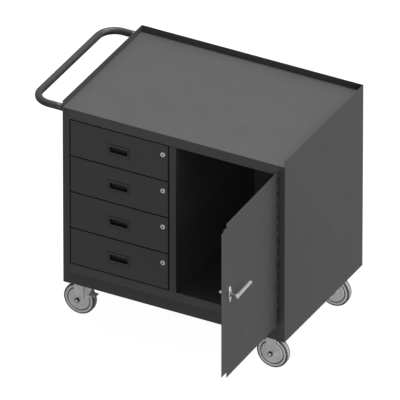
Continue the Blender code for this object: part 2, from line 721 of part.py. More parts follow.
def fork_leg(x, top):
    """Outline of a swivel fork's leg, wide at the top and cut back behind the axle, with a long slot."""
    foot = circle(x, AXLE_Z, FOOT_R, 9, math.radians(180), math.radians(150), ends=True)
    outline = [(FORK_RIGHT, top), (FORK_LEFT, top), (FORK_LEFT, -3.30)] + foot
    outline += [(3.02, -2.85), (FORK_RIGHT, -1.20)]
    return [outline, [(2.54, -3.00), (2.68, -3.00), (2.68, -0.95), (2.54, -0.95)]]


def axle(x, y):
    half = LEG_OUT - 0.03
    profile = [(0.0, -half - 0.45), (0.34, -half - 0.45), (0.34, -half), (0.18, -half), (0.18, half), (0.32, half),
               (0.32, half + 0.30), (0.0, half + 0.30)]
    return turned(profile, "Y", (x, y, AXLE_Z), 12)


def plate(x, y):
    hole = 0.165
    voids = [(x + sx * PLATE_BOLT - hole, x + sx * PLATE_BOLT + hole, y + sy * PLATE_BOLT - hole,
              y + sy * PLATE_BOLT + hole, -1.0, 1.0) for sx in (-1, 1) for sy in (-1, 1)]
    return sheet([(x - PLATE_HALF, x + PLATE_HALF, y - PLATE_HALF, y + PLATE_HALF, -0.16, -GAP)], voids)


def legs(y, loops):
    return [prism(loops, "Y", y + LEG_IN, y + LEG_OUT), prism(loops, "Y", y - LEG_OUT, y - LEG_IN)]


def wheel(x, y):
    """Solid wheel: a raised core, a step down to the tread's side wall, and a rounded shoulder."""
    w = WHEEL_HALF
    side = w - 0.075
    half = [(0.205, 0.70), (0.50, 0.70), (0.55, w), (1.70, w), (1.80, side), (2.15, side), (2.38, side - 0.10),
            (WHEEL_R, side - 0.30)]
    profile = half + [(radius, -height) for radius, height in reversed(half)]
    return turned(profile, "Y", (x, y, AXLE_Z), 28, math.pi / 2)


def brake_pedal(y):
    """Foot plate above the tread, its inner edge turned up towards the back, on an arm outside the fork."""
    near, far = y - 1.44, y - 0.22
    left, right = PEDAL_LEFT, PEDAL_RIGHT
    foot = prism([[(left, near), (right, near), (right, far), (left, far)]], "Z", PEDAL_Z - 0.11, PEDAL_Z)
    ear = prism([[(near + 0.10, PEDAL_Z - 0.05), (far, PEDAL_Z - 0.05), (far, PEDAL_Z + 0.20)]],
                "X", left, left + 0.10)
    arm = circle(BRAKE_X, BRAKE_Z, 0.24, 7, math.radians(120), math.radians(180), ends=True)
    arm += [(3.75, -2.35), (4.45, -2.00), (4.45, PEDAL_Z - 0.05), (3.72, PEDAL_Z - 0.05), (3.45, -2.05)]
    return joined("brake", [foot, ear, prism([arm], "Y", y - LEG_OUT - 0.085, y - LEG_OUT - 0.015)])


def build_casters():
    for place, y in (("front", CASTER_FRONT_Y), ("rear", CASTER_REAR_Y)):
        king = (KINGPIN_X, y, 0.0)
        race = turned([(0.0, -0.10), (1.15, -0.10), (1.15, -0.44), (0.20, -0.44), (0.20, -0.66), (0.34, -0.66),
                       (0.34, -0.80), (0.0, -0.80)], "Z", king, 14)
        node("swivel_%s_plate" % place, joined("plate", [plate(KINGPIN_X, y), race]), "zinc", king)

        crown = prism([[(FORK_LEFT + 0.01, y - LEG_OUT + 0.06), (FORK_RIGHT - 0.01, y - LEG_OUT + 0.06),
                        (FORK_RIGHT - 0.01, y + LEG_OUT - 0.06), (FORK_LEFT + 0.01, y + LEG_OUT - 0.06)],
                       circle(KINGPIN_X, y, 0.215, 14)], "Z", -0.63, -0.465)
        x = SWIVEL_WHEEL_X
        fork = joined("fork", [crown] + legs(y, fork_leg(x, -0.455)) + [axle(x, y)])
        node("swivel_%s_fork" % place, fork, "zinc", king)
        node("swivel_%s_wheel" % place, wheel(x, y), "wheel_tread", (x, y, AXLE_Z))
        node("swivel_%s_brake" % place, brake_pedal(y), "body_grey", (BRAKE_X, y, BRAKE_Z))

        x = RIGID_X
        frame = joined("frame", [plate(x, y)] + legs(y, rigid_leg(x, -0.10)) + [axle(x, y)])
        node("rigid_%s_frame" % place, frame, "zinc", (x, y, AXLE_Z))
        node("rigid_%s_wheel" % place, wheel(x, y), "wheel_tread", (x, y, AXLE_Z))


def stand_on_floor():
    """Put the origin on the floor under the middle of the bounding box."""
    bpy.context.view_layer.update()
    low = [1e9, 1e9, 1e9]
    high = [-1e9, -1e9, -1e9]
    things = list(bpy.context.scene.collection.objects)
    for thing in things:
        for vert in thing.data.vertices:
            place = thing.matrix_world @ vert.co
            for axis in range(3):
                low[axis] = min(low[axis], place[axis])
                high[axis] = max(high[axis], place[axis])
    shift = Vector(((low[0] + high[0]) / 2, (low[1] + high[1]) / 2, low[2]))
    for thing in things:
        thing.location = thing.location - shift
    bpy.context.view_layer.update()


clear_scene()
build_body()
build_drawers()
build_door()
build_casters()
stand_on_floor()
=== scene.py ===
"""Looks of a mobile steel workbench: worktop with raised edges, four drawers, a cupboard with a hinged
door, a tubular push handle and four casters, in dark grey powder coat.

Shapes are worked in inches from the cabinet's own corner: X to the right from the left side's outer
face, Y back from the front face, Z up from the bottom edge of the body. Pieces on the door are described
with the door shut and then turned open about the hinge.
"""
import math
from itertools import product

import bmesh
import bpy
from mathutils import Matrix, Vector
from mathutils.geometry import tessellate_polygon


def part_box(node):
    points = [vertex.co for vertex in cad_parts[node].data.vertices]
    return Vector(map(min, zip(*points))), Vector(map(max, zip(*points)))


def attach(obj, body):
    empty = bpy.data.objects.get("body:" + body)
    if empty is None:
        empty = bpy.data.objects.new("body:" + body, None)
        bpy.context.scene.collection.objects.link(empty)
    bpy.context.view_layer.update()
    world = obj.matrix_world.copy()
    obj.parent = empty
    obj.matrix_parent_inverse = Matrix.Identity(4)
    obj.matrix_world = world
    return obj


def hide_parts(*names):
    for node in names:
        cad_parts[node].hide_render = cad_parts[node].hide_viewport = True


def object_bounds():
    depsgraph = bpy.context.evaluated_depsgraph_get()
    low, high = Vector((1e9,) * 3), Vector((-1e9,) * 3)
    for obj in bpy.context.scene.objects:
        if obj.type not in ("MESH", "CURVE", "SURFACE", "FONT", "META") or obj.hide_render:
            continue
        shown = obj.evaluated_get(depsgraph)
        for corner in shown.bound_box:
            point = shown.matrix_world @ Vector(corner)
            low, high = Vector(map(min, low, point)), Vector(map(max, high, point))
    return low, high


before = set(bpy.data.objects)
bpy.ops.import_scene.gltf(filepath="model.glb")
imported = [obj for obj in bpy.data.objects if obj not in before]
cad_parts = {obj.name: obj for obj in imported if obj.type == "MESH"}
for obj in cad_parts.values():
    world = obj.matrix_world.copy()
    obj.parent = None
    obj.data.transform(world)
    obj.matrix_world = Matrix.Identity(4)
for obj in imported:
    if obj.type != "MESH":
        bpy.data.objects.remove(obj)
cad_low, cad_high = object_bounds()

INCH = 0.0254
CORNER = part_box("left_side")[0]

# Sheet and clearances; a cut runs past the sheet it goes through
GAP = 0.012
SHEET = 0.075
THIN = 0.05
PAST = 0.1

# Body
BODY_W = 36.125
BODY_D = 24.25
BODY_H = 30.375
WORKTOP_Z = 29.37
LIP_FRONT_Z = 29.85
LIP_SLOPE_Y = 0.45
OPEN_LOW = 3.37
OPEN_HIGH = 27.70
LEFT_STILE_X = 1.09
CENTRE_LEFT = 17.37
CENTRE_RIGHT = 18.45
RIGHT_STILE_X = 35.125
STILE_DEPTH = 0.90
FLOOR_RAIL_LOW = 1.90
BASE_RECESS = 0.02
BASE_SHEET = 0.10
BASE_DEPTH = 4.94

# Drawers
DRAWER_COUNT = 4
DRAWER_PITCH = 6.045
DRAWER_H = 5.85
DRAWER_LOW_Z = 3.54
DRAWER_LEFT = 1.29
DRAWER_RIGHT = 17.13
PAN_DEPTH = 0.75
BOX_BACK = 20.90
BOX_UP = (0.40, 5.30)
# Thickness of the rim's hem and how far down it reaches
HEM = 0.06
HEM_DROP = 0.36
PULL_X = 9.15
PULL_UP = 2.79
PULL_DEPTH = 0.60
# Half width and half height of the pull's outlines
PULL_HOLE = (1.53, 0.52)
PULL_CUP = (1.47, 0.465)
PULL_CUP_OUTSIDE = (1.51, 0.505)
PULL_FLANGE_HOLE = (1.50, 0.50)
# The black flange's margin outside the rim is a painted shadow line
PULL_SHADOW_FLANGE = (1.79, 0.92)
PULL_RIM = (1.66, 0.79)
FLANGE_Y = -0.024
RIM_Y = -0.062
LOCK_X = 16.36
LOCK_UP = 4.31
LOCK_PROUD = 0.15
LOCK_HOLE = 0.35
LOCK_RING_R = 0.39
LOCK_BARREL_R = 0.33
LOCK_BORE = 0.20
PLUG_R = 0.185
KEYWAY = (0.07, 0.145)
CAM_Y = 0.457
CAM_T = 0.08
CAM_HALF = 0.21
CAM_REACH = 1.30
CAM_SLOT_Y = (CAM_Y - 0.06, CAM_Y + 0.16)
CAM_SLOT_ABOVE = 0.27
LINER_Y = (1.50, 20.80)
SLIDE_LEFT = LEFT_STILE_X + 0.002
SLIDE_FRONT = 1.0
SLIDE_BACK = 21.0
SLIDE_UP = 2.20
SLIDE_SPACE = 0.50
# A slide member's near and far face and its half height
SLIDES = {"outer": (0.0, 0.36, 0.90), "middle": (0.08, 0.40, 0.75), "inner": (0.17, 0.50, 0.60)}

# Door
DOOR_ANGLE = math.radians(91.0)
HINGE_X = 34.97
HINGE_Y = -0.145
HINGE_R = 0.13
HINGE_SHEET = 0.035
PIN_R = 0.042
KNUCKLES = 13
DOOR_FREE_X = 17.42
DOOR_LOW = 2.65
DOOR_HIGH = 28.30
DOOR_OUTER_Y = -0.135
# Corners cut out of the door's free edge: width and height
NOTCH = (1.55, 0.87)
PAN_BACK = 0.40
SPINDLE_X = 19.97
SPINDLE_Z = 16.08
SPINDLE_R = 0.24
PLATE_HALF = (0.40, 1.325)
LEVER_OUT = 1.36
LEVER_T = 0.34
LATCH_Y = 0.965
LATCH_T = 0.15
LATCH_HALF = 0.25
LATCH_REACH = 2.10
LATCH_SLOT = (0.92, 1.185, SPINDLE_Z - 1.60, SPINDLE_Z + 0.36)

# Push handle
TUBE_R = 0.545
TUBE_WALL = 0.065
HANDLE_Z = 28.80
HANDLE_REACH = 5.41
HANDLE_BEND = 2.75
HANDLE_Y = (0.76, 23.60)

# Casters
AXLE_Z = -3.50
WHEEL_R = 2.50
CASTER_Y = {"front": 2.36, "rear": 21.49}
RIGID_X = 33.10
KINGPIN_X = 3.00
SWIVEL_X = 1.56
PLATE_LOW = -0.16
PLATE_REACH = 1.85
BOLT_AT = 1.45
WASHER = 0.04
FORK_SLOT_X = 2.61
LEG_IN = 0.74
LEG_OUT = 0.86
LEG_HALF = 0.79
FOOT_R = 0.62
WHEEL_HALF = 0.625
BRAKE_X = 3.05
BRAKE_Z = -2.62

WHITE = (1.0, 1.0, 1.0, 1.0)
X, Y, Z = range(3)
# The two directions of a flat outline and the one along its axis
AXES = ((Y, Z, X), (X, Z, Y), (X, Y, Z))


# ---------------- shapes

def sheet(solids, voids=(), slope=None):
    """One closed solid from boxes (x0, x1, y0, y1, z0, z1) joined together, less the boxes in voids.

    A slope (front, height, end) runs the top edge down to that height at the front.
    """
    boxes = list(solids) + list(voids)
    lines = []
    for axis in range(3):
        values = {round(box[2 * axis + end], 5) for box in boxes for end in (0, 1)}
        if slope and axis == Y:
            values.add(round(slope[2], 5))
        lines.append(sorted(values))

    def inside(box, mid):
        return all(box[2 * a] < mid[a] < box[2 * a + 1] for a in range(3))

    filled = set()
    for cell in product(*[range(len(line) - 1) for line in lines]):
        mid = [(lines[a][cell[a]] + lines[a][cell[a] + 1]) / 2 for a in range(3)]
        if any(inside(box, mid) for box in solids) and not any(inside(box, mid) for box in voids):
            filled.add(cell)
    index, points, faces = {}, [], []

    def corner(key):
        if key not in index:
            index[key] = len(points)
            points.append([lines[a][key[a]] for a in range(3)])
        return index[key]

    for cell, axis, side in product(sorted(filled), range(3), (0, 1)):
        near = list(cell)
        near[axis] += 1 if side else -1
        if tuple(near) in filled:
            continue
        u, v = [a for a in range(3) if a != axis]
        face = []
        for du, dv in ((0, 0), (1, 0), (1, 1), (0, 1)):
            key = list(cell)
            key[axis] += side
            key[u] += du
            key[v] += dv
            face.append(corner(tuple(key)))
        faces.append(face)
    if slope:
        top = max(lines[2])
        for point in points:
            if abs(point[Y] - slope[0]) < 1e-4 and abs(point[Z] - top) < 1e-4:
                point[Z] = slope[1]
    return points, faces


def prism(loops, axis, low, high):
    """A flat outline, with any holes after it, drawn along an axis from low to high."""
    u, v, w = AXES[axis]
    flat = [point for loop in loops for point in loop]
    count = len(flat)
    points, faces = [], []
    for level in (low, high):
        for point in flat:
            place = [0.0, 0.0, 0.0]
            place[u], place[v], place[w] = point[0], point[1], level
            points.append(place)
    if len(loops) == 1:
        caps = [list(range(count))]
    else:
        outlines = [[Vector((*point, 0.0)) for point in loop] for loop in loops]
        caps = [list(triangle) for triangle in tessellate_polygon(outlines)]
    for cap in caps:
        faces.append(cap)
        faces.append([n + count for n in reversed(cap)])
    start = 0
    for loop in loops:
        for n in range(len(loop)):
            a, b = start + n, start + (n + 1) % len(loop)
            faces.append([a, b, b + count, a + count])
        start += len(loop)
    return points, faces


def arc(cx, cy, radius, start, stop, steps):
    """Points on an arc, both ends included; angles in degrees."""
    angles = [math.radians(start + (stop - start) * n / steps) for n in range(steps + 1)]
    return [(cx + radius * math.cos(a), cy + radius * math.sin(a)) for a in angles]


def circle(cx, cy, radius, segments):
    return arc(cx, cy, radius, 0, 360, segments)[:-1]


def rectangle(x0, x1, y0, y1):
    return [(x0, y0), (x1, y0), (x1, y1), (x0, y1)]


def round_box(x0, x1, y0, y1, radius, steps=5):
    """Rectangle outline with rounded corners."""
    out = arc(x1 - radius, y1 - radius, radius, 0, 90, steps)
    out += arc(x0 + radius, y1 - radius, radius, 90, 180, steps)
    out += arc(x0 + radius, y0 + radius, radius, 180, 270, steps)
    return out + arc(x1 - radius, y0 + radius, radius, 270, 360, steps)


def turned(profile, axis, centre, segments):
    """A closed outline of (radius, height along the axis) points turned about the axis."""
    u, v, w = AXES[axis]
    points, rings, faces = [], [], []
    for radius, height in profile:
        count = 1 if radius < 1e-9 else segments
        ring = []
        for n in range(count):
            a = 2 * math.pi * n / segments
            place = [0.0, 0.0, 0.0]
            place[u] = centre[u] + radius * math.cos(a)
            place[v] = centre[v] + radius * math.sin(a)
            place[w] = centre[w] + height
            ring.append(len(points))
            points.append(place)
        rings.append(ring if count > 1 else ring * segments)
    for m in range(len(rings)):
        first, second = rings[m], rings[(m + 1) % len(rings)]
        if first[0] == first[1] and second[0] == second[1]:
            continue
        for n in range(segments):
            nxt = (n + 1) % segments
            face = []
            for point in (first[n], first[nxt], second[nxt], second[n]):
                if point not in face:
                    face.append(point)
            faces.append(face)
    return points, faces


def bent_strip(path, thickness, radius, steps=4):
    """Outline of a bent sheet: a centre line of 2-D points with rounded bends, given its thickness."""
    line = [Vector(path[0])]
    for before, here, after in zip(path, path[1:], path[2:]):
        here = Vector(here)
        one, two = (Vector(before) - here).normalized(), (Vector(after) - here).normalized()
        half = one.angle(two) / 2
        reach = radius / math.tan(half)
        centre = here + (one + two).normalized() * (radius / math.sin(half))
        start, stop = here + one * reach - centre, here + two * reach - centre
        for n in range(steps + 1):
            t = n / steps
            swing = start.angle(stop)
            mix = (start * math.sin((1 - t) * swing) + stop * math.sin(t * swing)) / math.sin(swing)
            line.append(centre + mix)
    line.append(Vector(path[-1]))
    left, right = [], []
    for n, point in enumerate(line):
        along = (line[min(n + 1, len(line) - 1)] - line[max(n - 1, 0)]).normalized()
        side = Vector((-along.y, along.x)) * (thickness / 2)
        left.append(tuple(point + side))
        right.append(tuple(point - side))
    return left + right[::-1]


def tube(path, outer, inner, segments):
    """A round tube along a level path, open at both ends."""
    rings, points, faces = [], [], []
    for n, point in enumerate(path):
        along = Vector(path[min(n + 1, len(path) - 1)]) - Vector(path[max(n - 1, 0)])
        along.normalize()
        side = Vector((-along.y, along.x, 0.0))
        for radius in (outer, inner):
            ring = []
            for m in range(segments):
                a = 2 * math.pi * m / segments
                ring.append(len(points))
                points.append(list(Vector(point) + side * (radius * math.cos(a))
                                   + Vector((0, 0, radius * math.sin(a)))))
            rings.append(ring)
    last = len(rings)
    for m in range(segments):
        nxt = (m + 1) % segments
        for n in range(0, last - 2, 2):
            faces.append([rings[n][m], rings[n][nxt], rings[n + 2][nxt], rings[n + 2][m]])
            faces.append([rings[n + 1][m], rings[n + 3][m], rings[n + 3][nxt], rings[n + 1][nxt]])
        for n in (0, last - 2):
            faces.append([rings[n][m], rings[n + 1][m], rings[n + 1][nxt], rings[n][nxt]])
    return points, faces


def mirrored(solid, axis, about):
    points = []
    for point in solid[0]:
        place = list(point)
        place[axis] = 2 * about - place[axis]
        points.append(place)
    return points, [face[::-1] for face in solid[1]]


def hex_head(axis, centre, across, height, way):
    """Hexagon head or nut standing on centre along way * axis, its top corners turned off."""
    r = across / math.sqrt(3)
    profile = [(0.0, 0.0), (r, 0.0), (r, height * 0.78), (r * 0.86, height), (0.0, height)]
    return turned([(radius, way * h) for radius, h in profile], axis, centre, 6)


def disc(axis, centre, radius, low, high, segments=32):
    """Round plate with softened rims."""
    rim = min(0.02, (high - low) / 3)
    return turned([(0.0, low), (radius - rim, low), (radius, low + rim), (radius, high - rim),
                   (radius - rim, high), (0.0, high)], axis, centre, segments)


def handle_plate(x, back, z, segments=56):
    """Domed oval plate with a round hole for the spindle, its back against y = back."""
    hole = SPINDLE_R + 0.015
    # How far each ring is from the hole to the outline, and its height
    dome = [(1.0, 0.0), (1.0, 0.035), (0.985, 0.055), (0.95, 0.075), (0.85, 0.10), (0.70, 0.125),
            (0.50, 0.14), (0.0, 0.14), (0.0, 0.0)]
    points, faces = [], []
    for size, height in dome:
        half_w, half_h = [hole + (half - hole) * size for half in PLATE_HALF]
        for n in range(segments):
            a = 2 * math.pi * n / segments
            points.append([x + half_w * math.cos(a), back - height, z + half_h * math.sin(a)])
    count = len(dome)
    for m in range(count):
        for n in range(segments):
            nxt = (n + 1) % segments
            first, second = m * segments, ((m + 1) % count) * segments
            faces.append([first + n, first + nxt, second + nxt, second + n])
    return points, faces


def weld_bead(y):
    """Rippled bead where the handle's tube meets the side."""
    profile = [(TUBE_R + 0.015 + x, h) for x, h in circle(0.0, 0.0, 0.07, 10)]
    bead = turned(profile, X, (-0.075, y, HANDLE_Z), 72)
    for point in bead[0]:
        turn = math.atan2(point[Z] - HANDLE_Z, point[Y] - y)
        swell = 1.0 + 0.012 * math.cos(24 * turn)
        point[Y] = y + (point[Y] - y) * swell
        point[Z] = HANDLE_Z + (point[Z] - HANDLE_Z) * swell
    return bead


# ---------------- materials

class Shader:
    """Short calls for a node material."""

    def __init__(self, name, colour, rough, metal=0.0, **values):
        self.material = bpy.data.materials.new(name)
        self.material.use_nodes = True
        self.tree = self.material.node_tree
        self.bsdf = self.tree.nodes["Principled BSDF"]
        self.coords = self.node("TexCoord").outputs["Object"]
        self.fill(self.bsdf, Base_Color=colour, Roughness=rough, Metallic=metal, **values)

    def fill(self, node, **values):
        """Set a node's inputs by name, with _ for a space."""
        for key, value in values.items():
            node.inputs[key.replace("_", " ")].default_value = value

    def node(self, kind, **values):
        node = self.tree.nodes.new("ShaderNode" + kind)
        self.fill(node, **values)
        return node

    def link(self, out, socket):
        self.tree.links.new(out, socket)

    def noise(self, scale, detail=3.0, stretch=None, rough=0.5):
        node = self.node("TexNoise", Scale=scale, Detail=detail, Roughness=rough)
        source = self.coords
        if stretch:
            mapping = self.node("Mapping", Scale=stretch)
            self.link(source, mapping.inputs["Vector"])
            source = mapping.outputs["Vector"]
        self.link(source, node.inputs["Vector"])
        return node.outputs["Fac"]

    def cells(self, scale):
        node = self.node("TexVoronoi", Scale=scale)
        self.link(self.coords, node.inputs["Vector"])
        return node.outputs["Color"]

    def ramp(self, out, stops):
        node = self.node("ValToRGB")
        while len(node.color_ramp.elements) < len(stops):
            node.color_ramp.elements.new(0.5)
        for element, (at, value) in zip(node.color_ramp.elements, stops):
            element.position = at
            element.color = value
        self.link(out, node.inputs["Fac"])
        return node.outputs["Color"]

    def level(self, out, low, high, start=0.3, stop=0.7):
        """Map a pattern from start..stop to low..high."""
        node = self.node("MapRange", From_Min=start, From_Max=stop, To_Min=low, To_Max=high)
        self.link(out, node.inputs["Value"])
        return node.outputs["Result"]

    def mix(self, fac, one, two, blend="MIX"):
        node = self.node("MixRGB")
        node.blend_type = blend
        for value, key in ((fac, "Fac"), (one, "Color1"), (two, "Color2")):
            if hasattr(value, "links"):
                self.link(value, node.inputs[key])
            else:
                node.inputs[key].default_value = value
        return node.outputs["Color"]

    def edges(self):
        """High where the surface turns sharply outwards."""
        node = self.node("NewGeometry")
        return self.level(node.outputs["Pointiness"], 0.0, 1.0, 0.52, 0.62)

    def bump(self, *layers):
        """Layers of (pattern, depth in metres), one over the other."""
        normal = None
        for height, depth in layers:
            node = self.node("Bump", Strength=1.0, Distance=depth)
            self.link(height, node.inputs["Height"])
            if normal:
                self.link(normal, node.inputs["Normal"])
            normal = node.outputs["Normal"]
        self.link(normal, self.bsdf.inputs["Normal"])


def grey(value, warm=0.0):
    """A grey of that value, a little warmer or colder."""
    return (value * (1 + warm), value, value * (1 - warm), 1.0)


def painted(name, value, rough=0.42, rub=0.30):
    """Powder coat: a fine pebbled skin, slight shade drift and dust; rub is how far its edges are worn."""
    s = Shader(name, grey(value), rough, Specular_IOR_Level=0.40)
    drift = s.noise(3.5, 4.0)
    shade = s.ramp(drift, [(0.3, grey(value * 0.97)), (0.7, grey(value * 1.03, 0.002))])
    dust = s.level(s.noise(38.0, 6.0, rough=0.65), 0.0, 0.06, 0.45, 0.75)
    shade = s.mix(dust, shade, grey(value * 1.6, 0.01))
    shade = s.mix(s.level(s.edges(), 0.0, rub, 0.0, 1.0), shade, grey(value * 1.9))
    s.link(shade, s.bsdf.inputs["Base Color"])
    s.link(s.level(s.noise(14.0, 5.0), rough - 0.03, rough + 0.04), s.bsdf.inputs["Roughness"])
    s.bump((s.noise(1100.0, 2.0), 0.000035), (s.noise(420.0, 2.0), 0.00002))
    return s.material


def zinc_plate(name):
    """Bright zinc on pressed steel: cloudy, with faint spangle and fine rolling lines."""
    s = Shader(name, grey(0.62, 0.004), 0.42, 0.55)
    cloud = s.ramp(s.noise(22.0, 5.0), [(0.3, grey(0.50, 0.006)), (0.7, grey(0.66, -0.004))])
    spangle = s.mix(0.10, cloud, s.cells(260.0), "OVERLAY")
    rubbed = s.mix(s.level(s.edges(), 0.0, 0.5, 0.0, 1.0), spangle, grey(0.80))
    s.link(rubbed, s.bsdf.inputs["Base Color"])
    s.link(s.level(s.noise(60.0, 4.0), 0.34, 0.52), s.bsdf.inputs["Roughness"])
    s.bump((s.noise(900.0, 2.0, (1.0, 1.0, 0.15)), 0.00002))
    return s.material


def chrome_plate(name):
    """Polished chrome with a trace of handling haze."""
    s = Shader(name, grey(0.70), 0.20, 0.72)
    haze = s.noise(55.0, 5.0, rough=0.6)
    s.link(s.level(haze, 0.16, 0.28, 0.35, 0.75), s.bsdf.inputs["Roughness"])
    s.link(s.ramp(haze, [(0.35, grey(0.74)), (0.8, grey(0.64, 0.01))]), s.bsdf.inputs["Base Color"])
    s.bump((s.noise(260.0, 2.0), 0.000008))
    return s.material


def moulded(name, value, rough, warm=0.0, grain=0.00004):
    """Plastic, rubber or blackened steel with a fine grain and scuffs."""
    s = Shader(name, grey(value, warm), rough, Specular_IOR_Level=0.35)
    tone = s.ramp(s.noise(30.0, 5.0), [(0.3, grey(value * 0.90, warm)), (0.7, grey(value * 1.08, warm))])
    scuff = s.level(s.noise(160.0, 6.0, (1.0, 1.0, 0.25), 0.7), 0.0, 0.25, 0.60, 0.80)
    s.link(s.mix(scuff, tone, grey(min(value * 1.35, 0.8), warm)), s.bsdf.inputs["Base Color"])
    s.link(s.level(s.noise(90.0, 4.0), rough - 0.06, rough + 0.08), s.bsdf.inputs["Roughness"])
    s.bump((s.noise(1500.0, 2.0), grain))
    return s.material


# Each finish's material and slot
FINISHES = {
    "body": (painted("powder_coat_body", 0.0372), "body_grey"),
    "door": (painted("powder_coat_door", 0.037), "door_grey"),
    "drawer": (painted("powder_coat_drawer", 0.036), "drawer_grey"),
    # Lighter copy of the body powder coat for the worktop and top rail: painted light
    "top": (painted("powder_coat_top_painted_light", 0.0500), "body_grey"),
    # Lighter copy of the body powder coat for the floor and bottom rail: painted light on the rail's upper
    # band
    "rail": (painted("powder_coat_rail_painted_light", 0.045), "body_grey"),
    # Much darker copy of the body powder coat with no worn edges, for the hinge: painted shade along the
    # hinge line
    "hinge": (painted("powder_coat_hinge_painted_shade", 0.014, 0.60, 0.0), "body_grey"),
    # Darker copy of the body powder coat for the push handle: painted shade
    "tube": (painted("powder_coat_tube_painted_shade", 0.027), "body_grey"),
    # Darker copy of the body powder coat for the base channels and back: painted shade on the low front band
    # and the rear lip
    "base": (painted("powder_coat_base_painted_shade", 0.030), "body_grey"),
    "zinc": (zinc_plate("zinc_plated_steel"), "zinc"),
    "chrome": (chrome_plate("polished_chrome"), "chrome"),
    # Black plastic of the pull cups; their near-black is partly own colour, partly painted shade in the
    # recess
    "black": (moulded("black_plastic", 0.012, 0.50), "black_plastic"),
    "frame": (moulded("dark_plastic", 0.040, 0.45), "black_plastic"),
    # Black for the ring round the front of each axle and the bottom of each keyway: painted shade
    "shade_black": (moulded("painted_shade_black", 0.012, 0.50), "zinc"),
    # Pedal paint far lighter than the dark grey it stands for: painted light against the body's shadow
    "pedal": (painted("pedal_coat_painted_light", 0.38, 0.50), "body_grey"),
    "spindle": (moulded("blackened_spindle", 0.10, 0.35), "chrome"),
    "tread": (moulded("polyurethane_tread", 0.36, 0.55, 0.015, 0.00006), "wheel_tread"),
    # Darker copy of the tread for the swivel wheels: painted shade
    "tread_painted_shade": (moulded("tread_painted_shade", 0.20, 0.60, 0.006, 0.00006), "wheel_tread"),
    "core": (moulded("wheel_core", 0.64, 0.45, 0.012), "wheel_tread"),
    # Dark rings in the wheel's grooves: painted shade
    "groove_shade": (moulded("tread_seam", 0.045, 0.60), "wheel_tread"),
    # Dark ring on the tread's rounded edge: painted shade
    "shoulder_shade": (moulded("tread_shoulder", 0.060, 0.60), "wheel_tread"),
}


# ---------------- pieces

def at_rest(point, on_door):
    """Where a point worked in inches stands in the scene, with the door open."""
    x, y, z = point
    if on_door:
        dx, dy = x - HINGE_X, y - HINGE_Y
        c, s = math.cos(DOOR_ANGLE), math.sin(DOOR_ANGLE)
        x, y = HINGE_X + c * dx - s * dy, HINGE_Y + s * dx + c * dy
    return Vector((x, y, z)) * INCH + CORNER


def stand(name, data):
    """Put a mesh, a lamp or the camera into the scene."""
    thing = bpy.data.objects.new(name, data)
    bpy.context.scene.collection.objects.link(thing)
    return thing


def piece(name, body, finish, solids, replaces=(), bends=(), bend=0.06,
          bevel=0.012, steps=2, corner=38.0, smooth=False, merge=True):
    """One visible piece made of closed solids, with its bends rounded and its edges softened.

    Each bend is an edge (axis, place, axis, place). A smooth piece is curved all over and keeps its edges.
    Without merge, faces in one plane stay apart, so that edges softened round a slot can't cross it.
    """
    on_door = body.startswith("door")
    bm = bmesh.new()
    for points, faces in solids:
        verts = [bm.verts.new(point) for point in points]
        for face in faces:
            bm.faces.new([verts[n] for n in face])
    bmesh.ops.recalc_face_normals(bm, faces=bm.faces)
    if merge and not smooth:
        bmesh.ops.dissolve_limit(bm, angle_limit=math.radians(0.5), verts=bm.verts, edges=bm.edges)
    chosen = []
    for edge in bm.edges:
        for a, value_a, b, value_b in bends:
            if all(abs(v.co[a] - value_a) < 1e-3 and abs(v.co[b] - value_b) < 1e-3 for v in edge.verts):
                chosen.append(edge)
                break
    if chosen:
        bmesh.ops.bevel(bm, geom=chosen, offset=bend, offset_type="OFFSET", segments=4, profile=0.5,
                        affect="EDGES", clamp_overlap=True)
    for vert in bm.verts:
        vert.co = at_rest(vert.co, on_door)
    for face in bm.faces:
        face.smooth = True
    mesh = bpy.data.meshes.new(name)
    bm.to_mesh(mesh)
    bm.free()
    material, slot = FINISHES[finish]
    mesh.materials.append(material)
    thing = stand(name, mesh)
    if bevel and not smooth:
        soften = thing.modifiers.new("edges", "BEVEL")
        soften.width = bevel * INCH
        soften.segments = steps
        soften.limit_method = "ANGLE"
        soften.angle_limit = math.radians(corner)
        soften.harden_normals = True
    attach(thing, body)
    if replaces:
        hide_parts(*replaces)


def drawer_low(n):
    """Bottom of the front of drawer n, counted from 1 at the top."""
    return DRAWER_LOW_Z + (DRAWER_COUNT - n) * DRAWER_PITCH


# ---------------- body

INNER_LEFT = SHEET + GAP
INNER_RIGHT = BODY_W - SHEET - GAP
INNER_BACK = BODY_D - SHEET - GAP
RAIL_LEFT = LEFT_STILE_X + GAP
RAIL_RIGHT = RIGHT_STILE_X - GAP
POST_TOP = WORKTOP_Z - SHEET - GAP
STILE_TOP = OPEN_HIGH - GAP
PANEL_LOW = OPEN_LOW + GAP


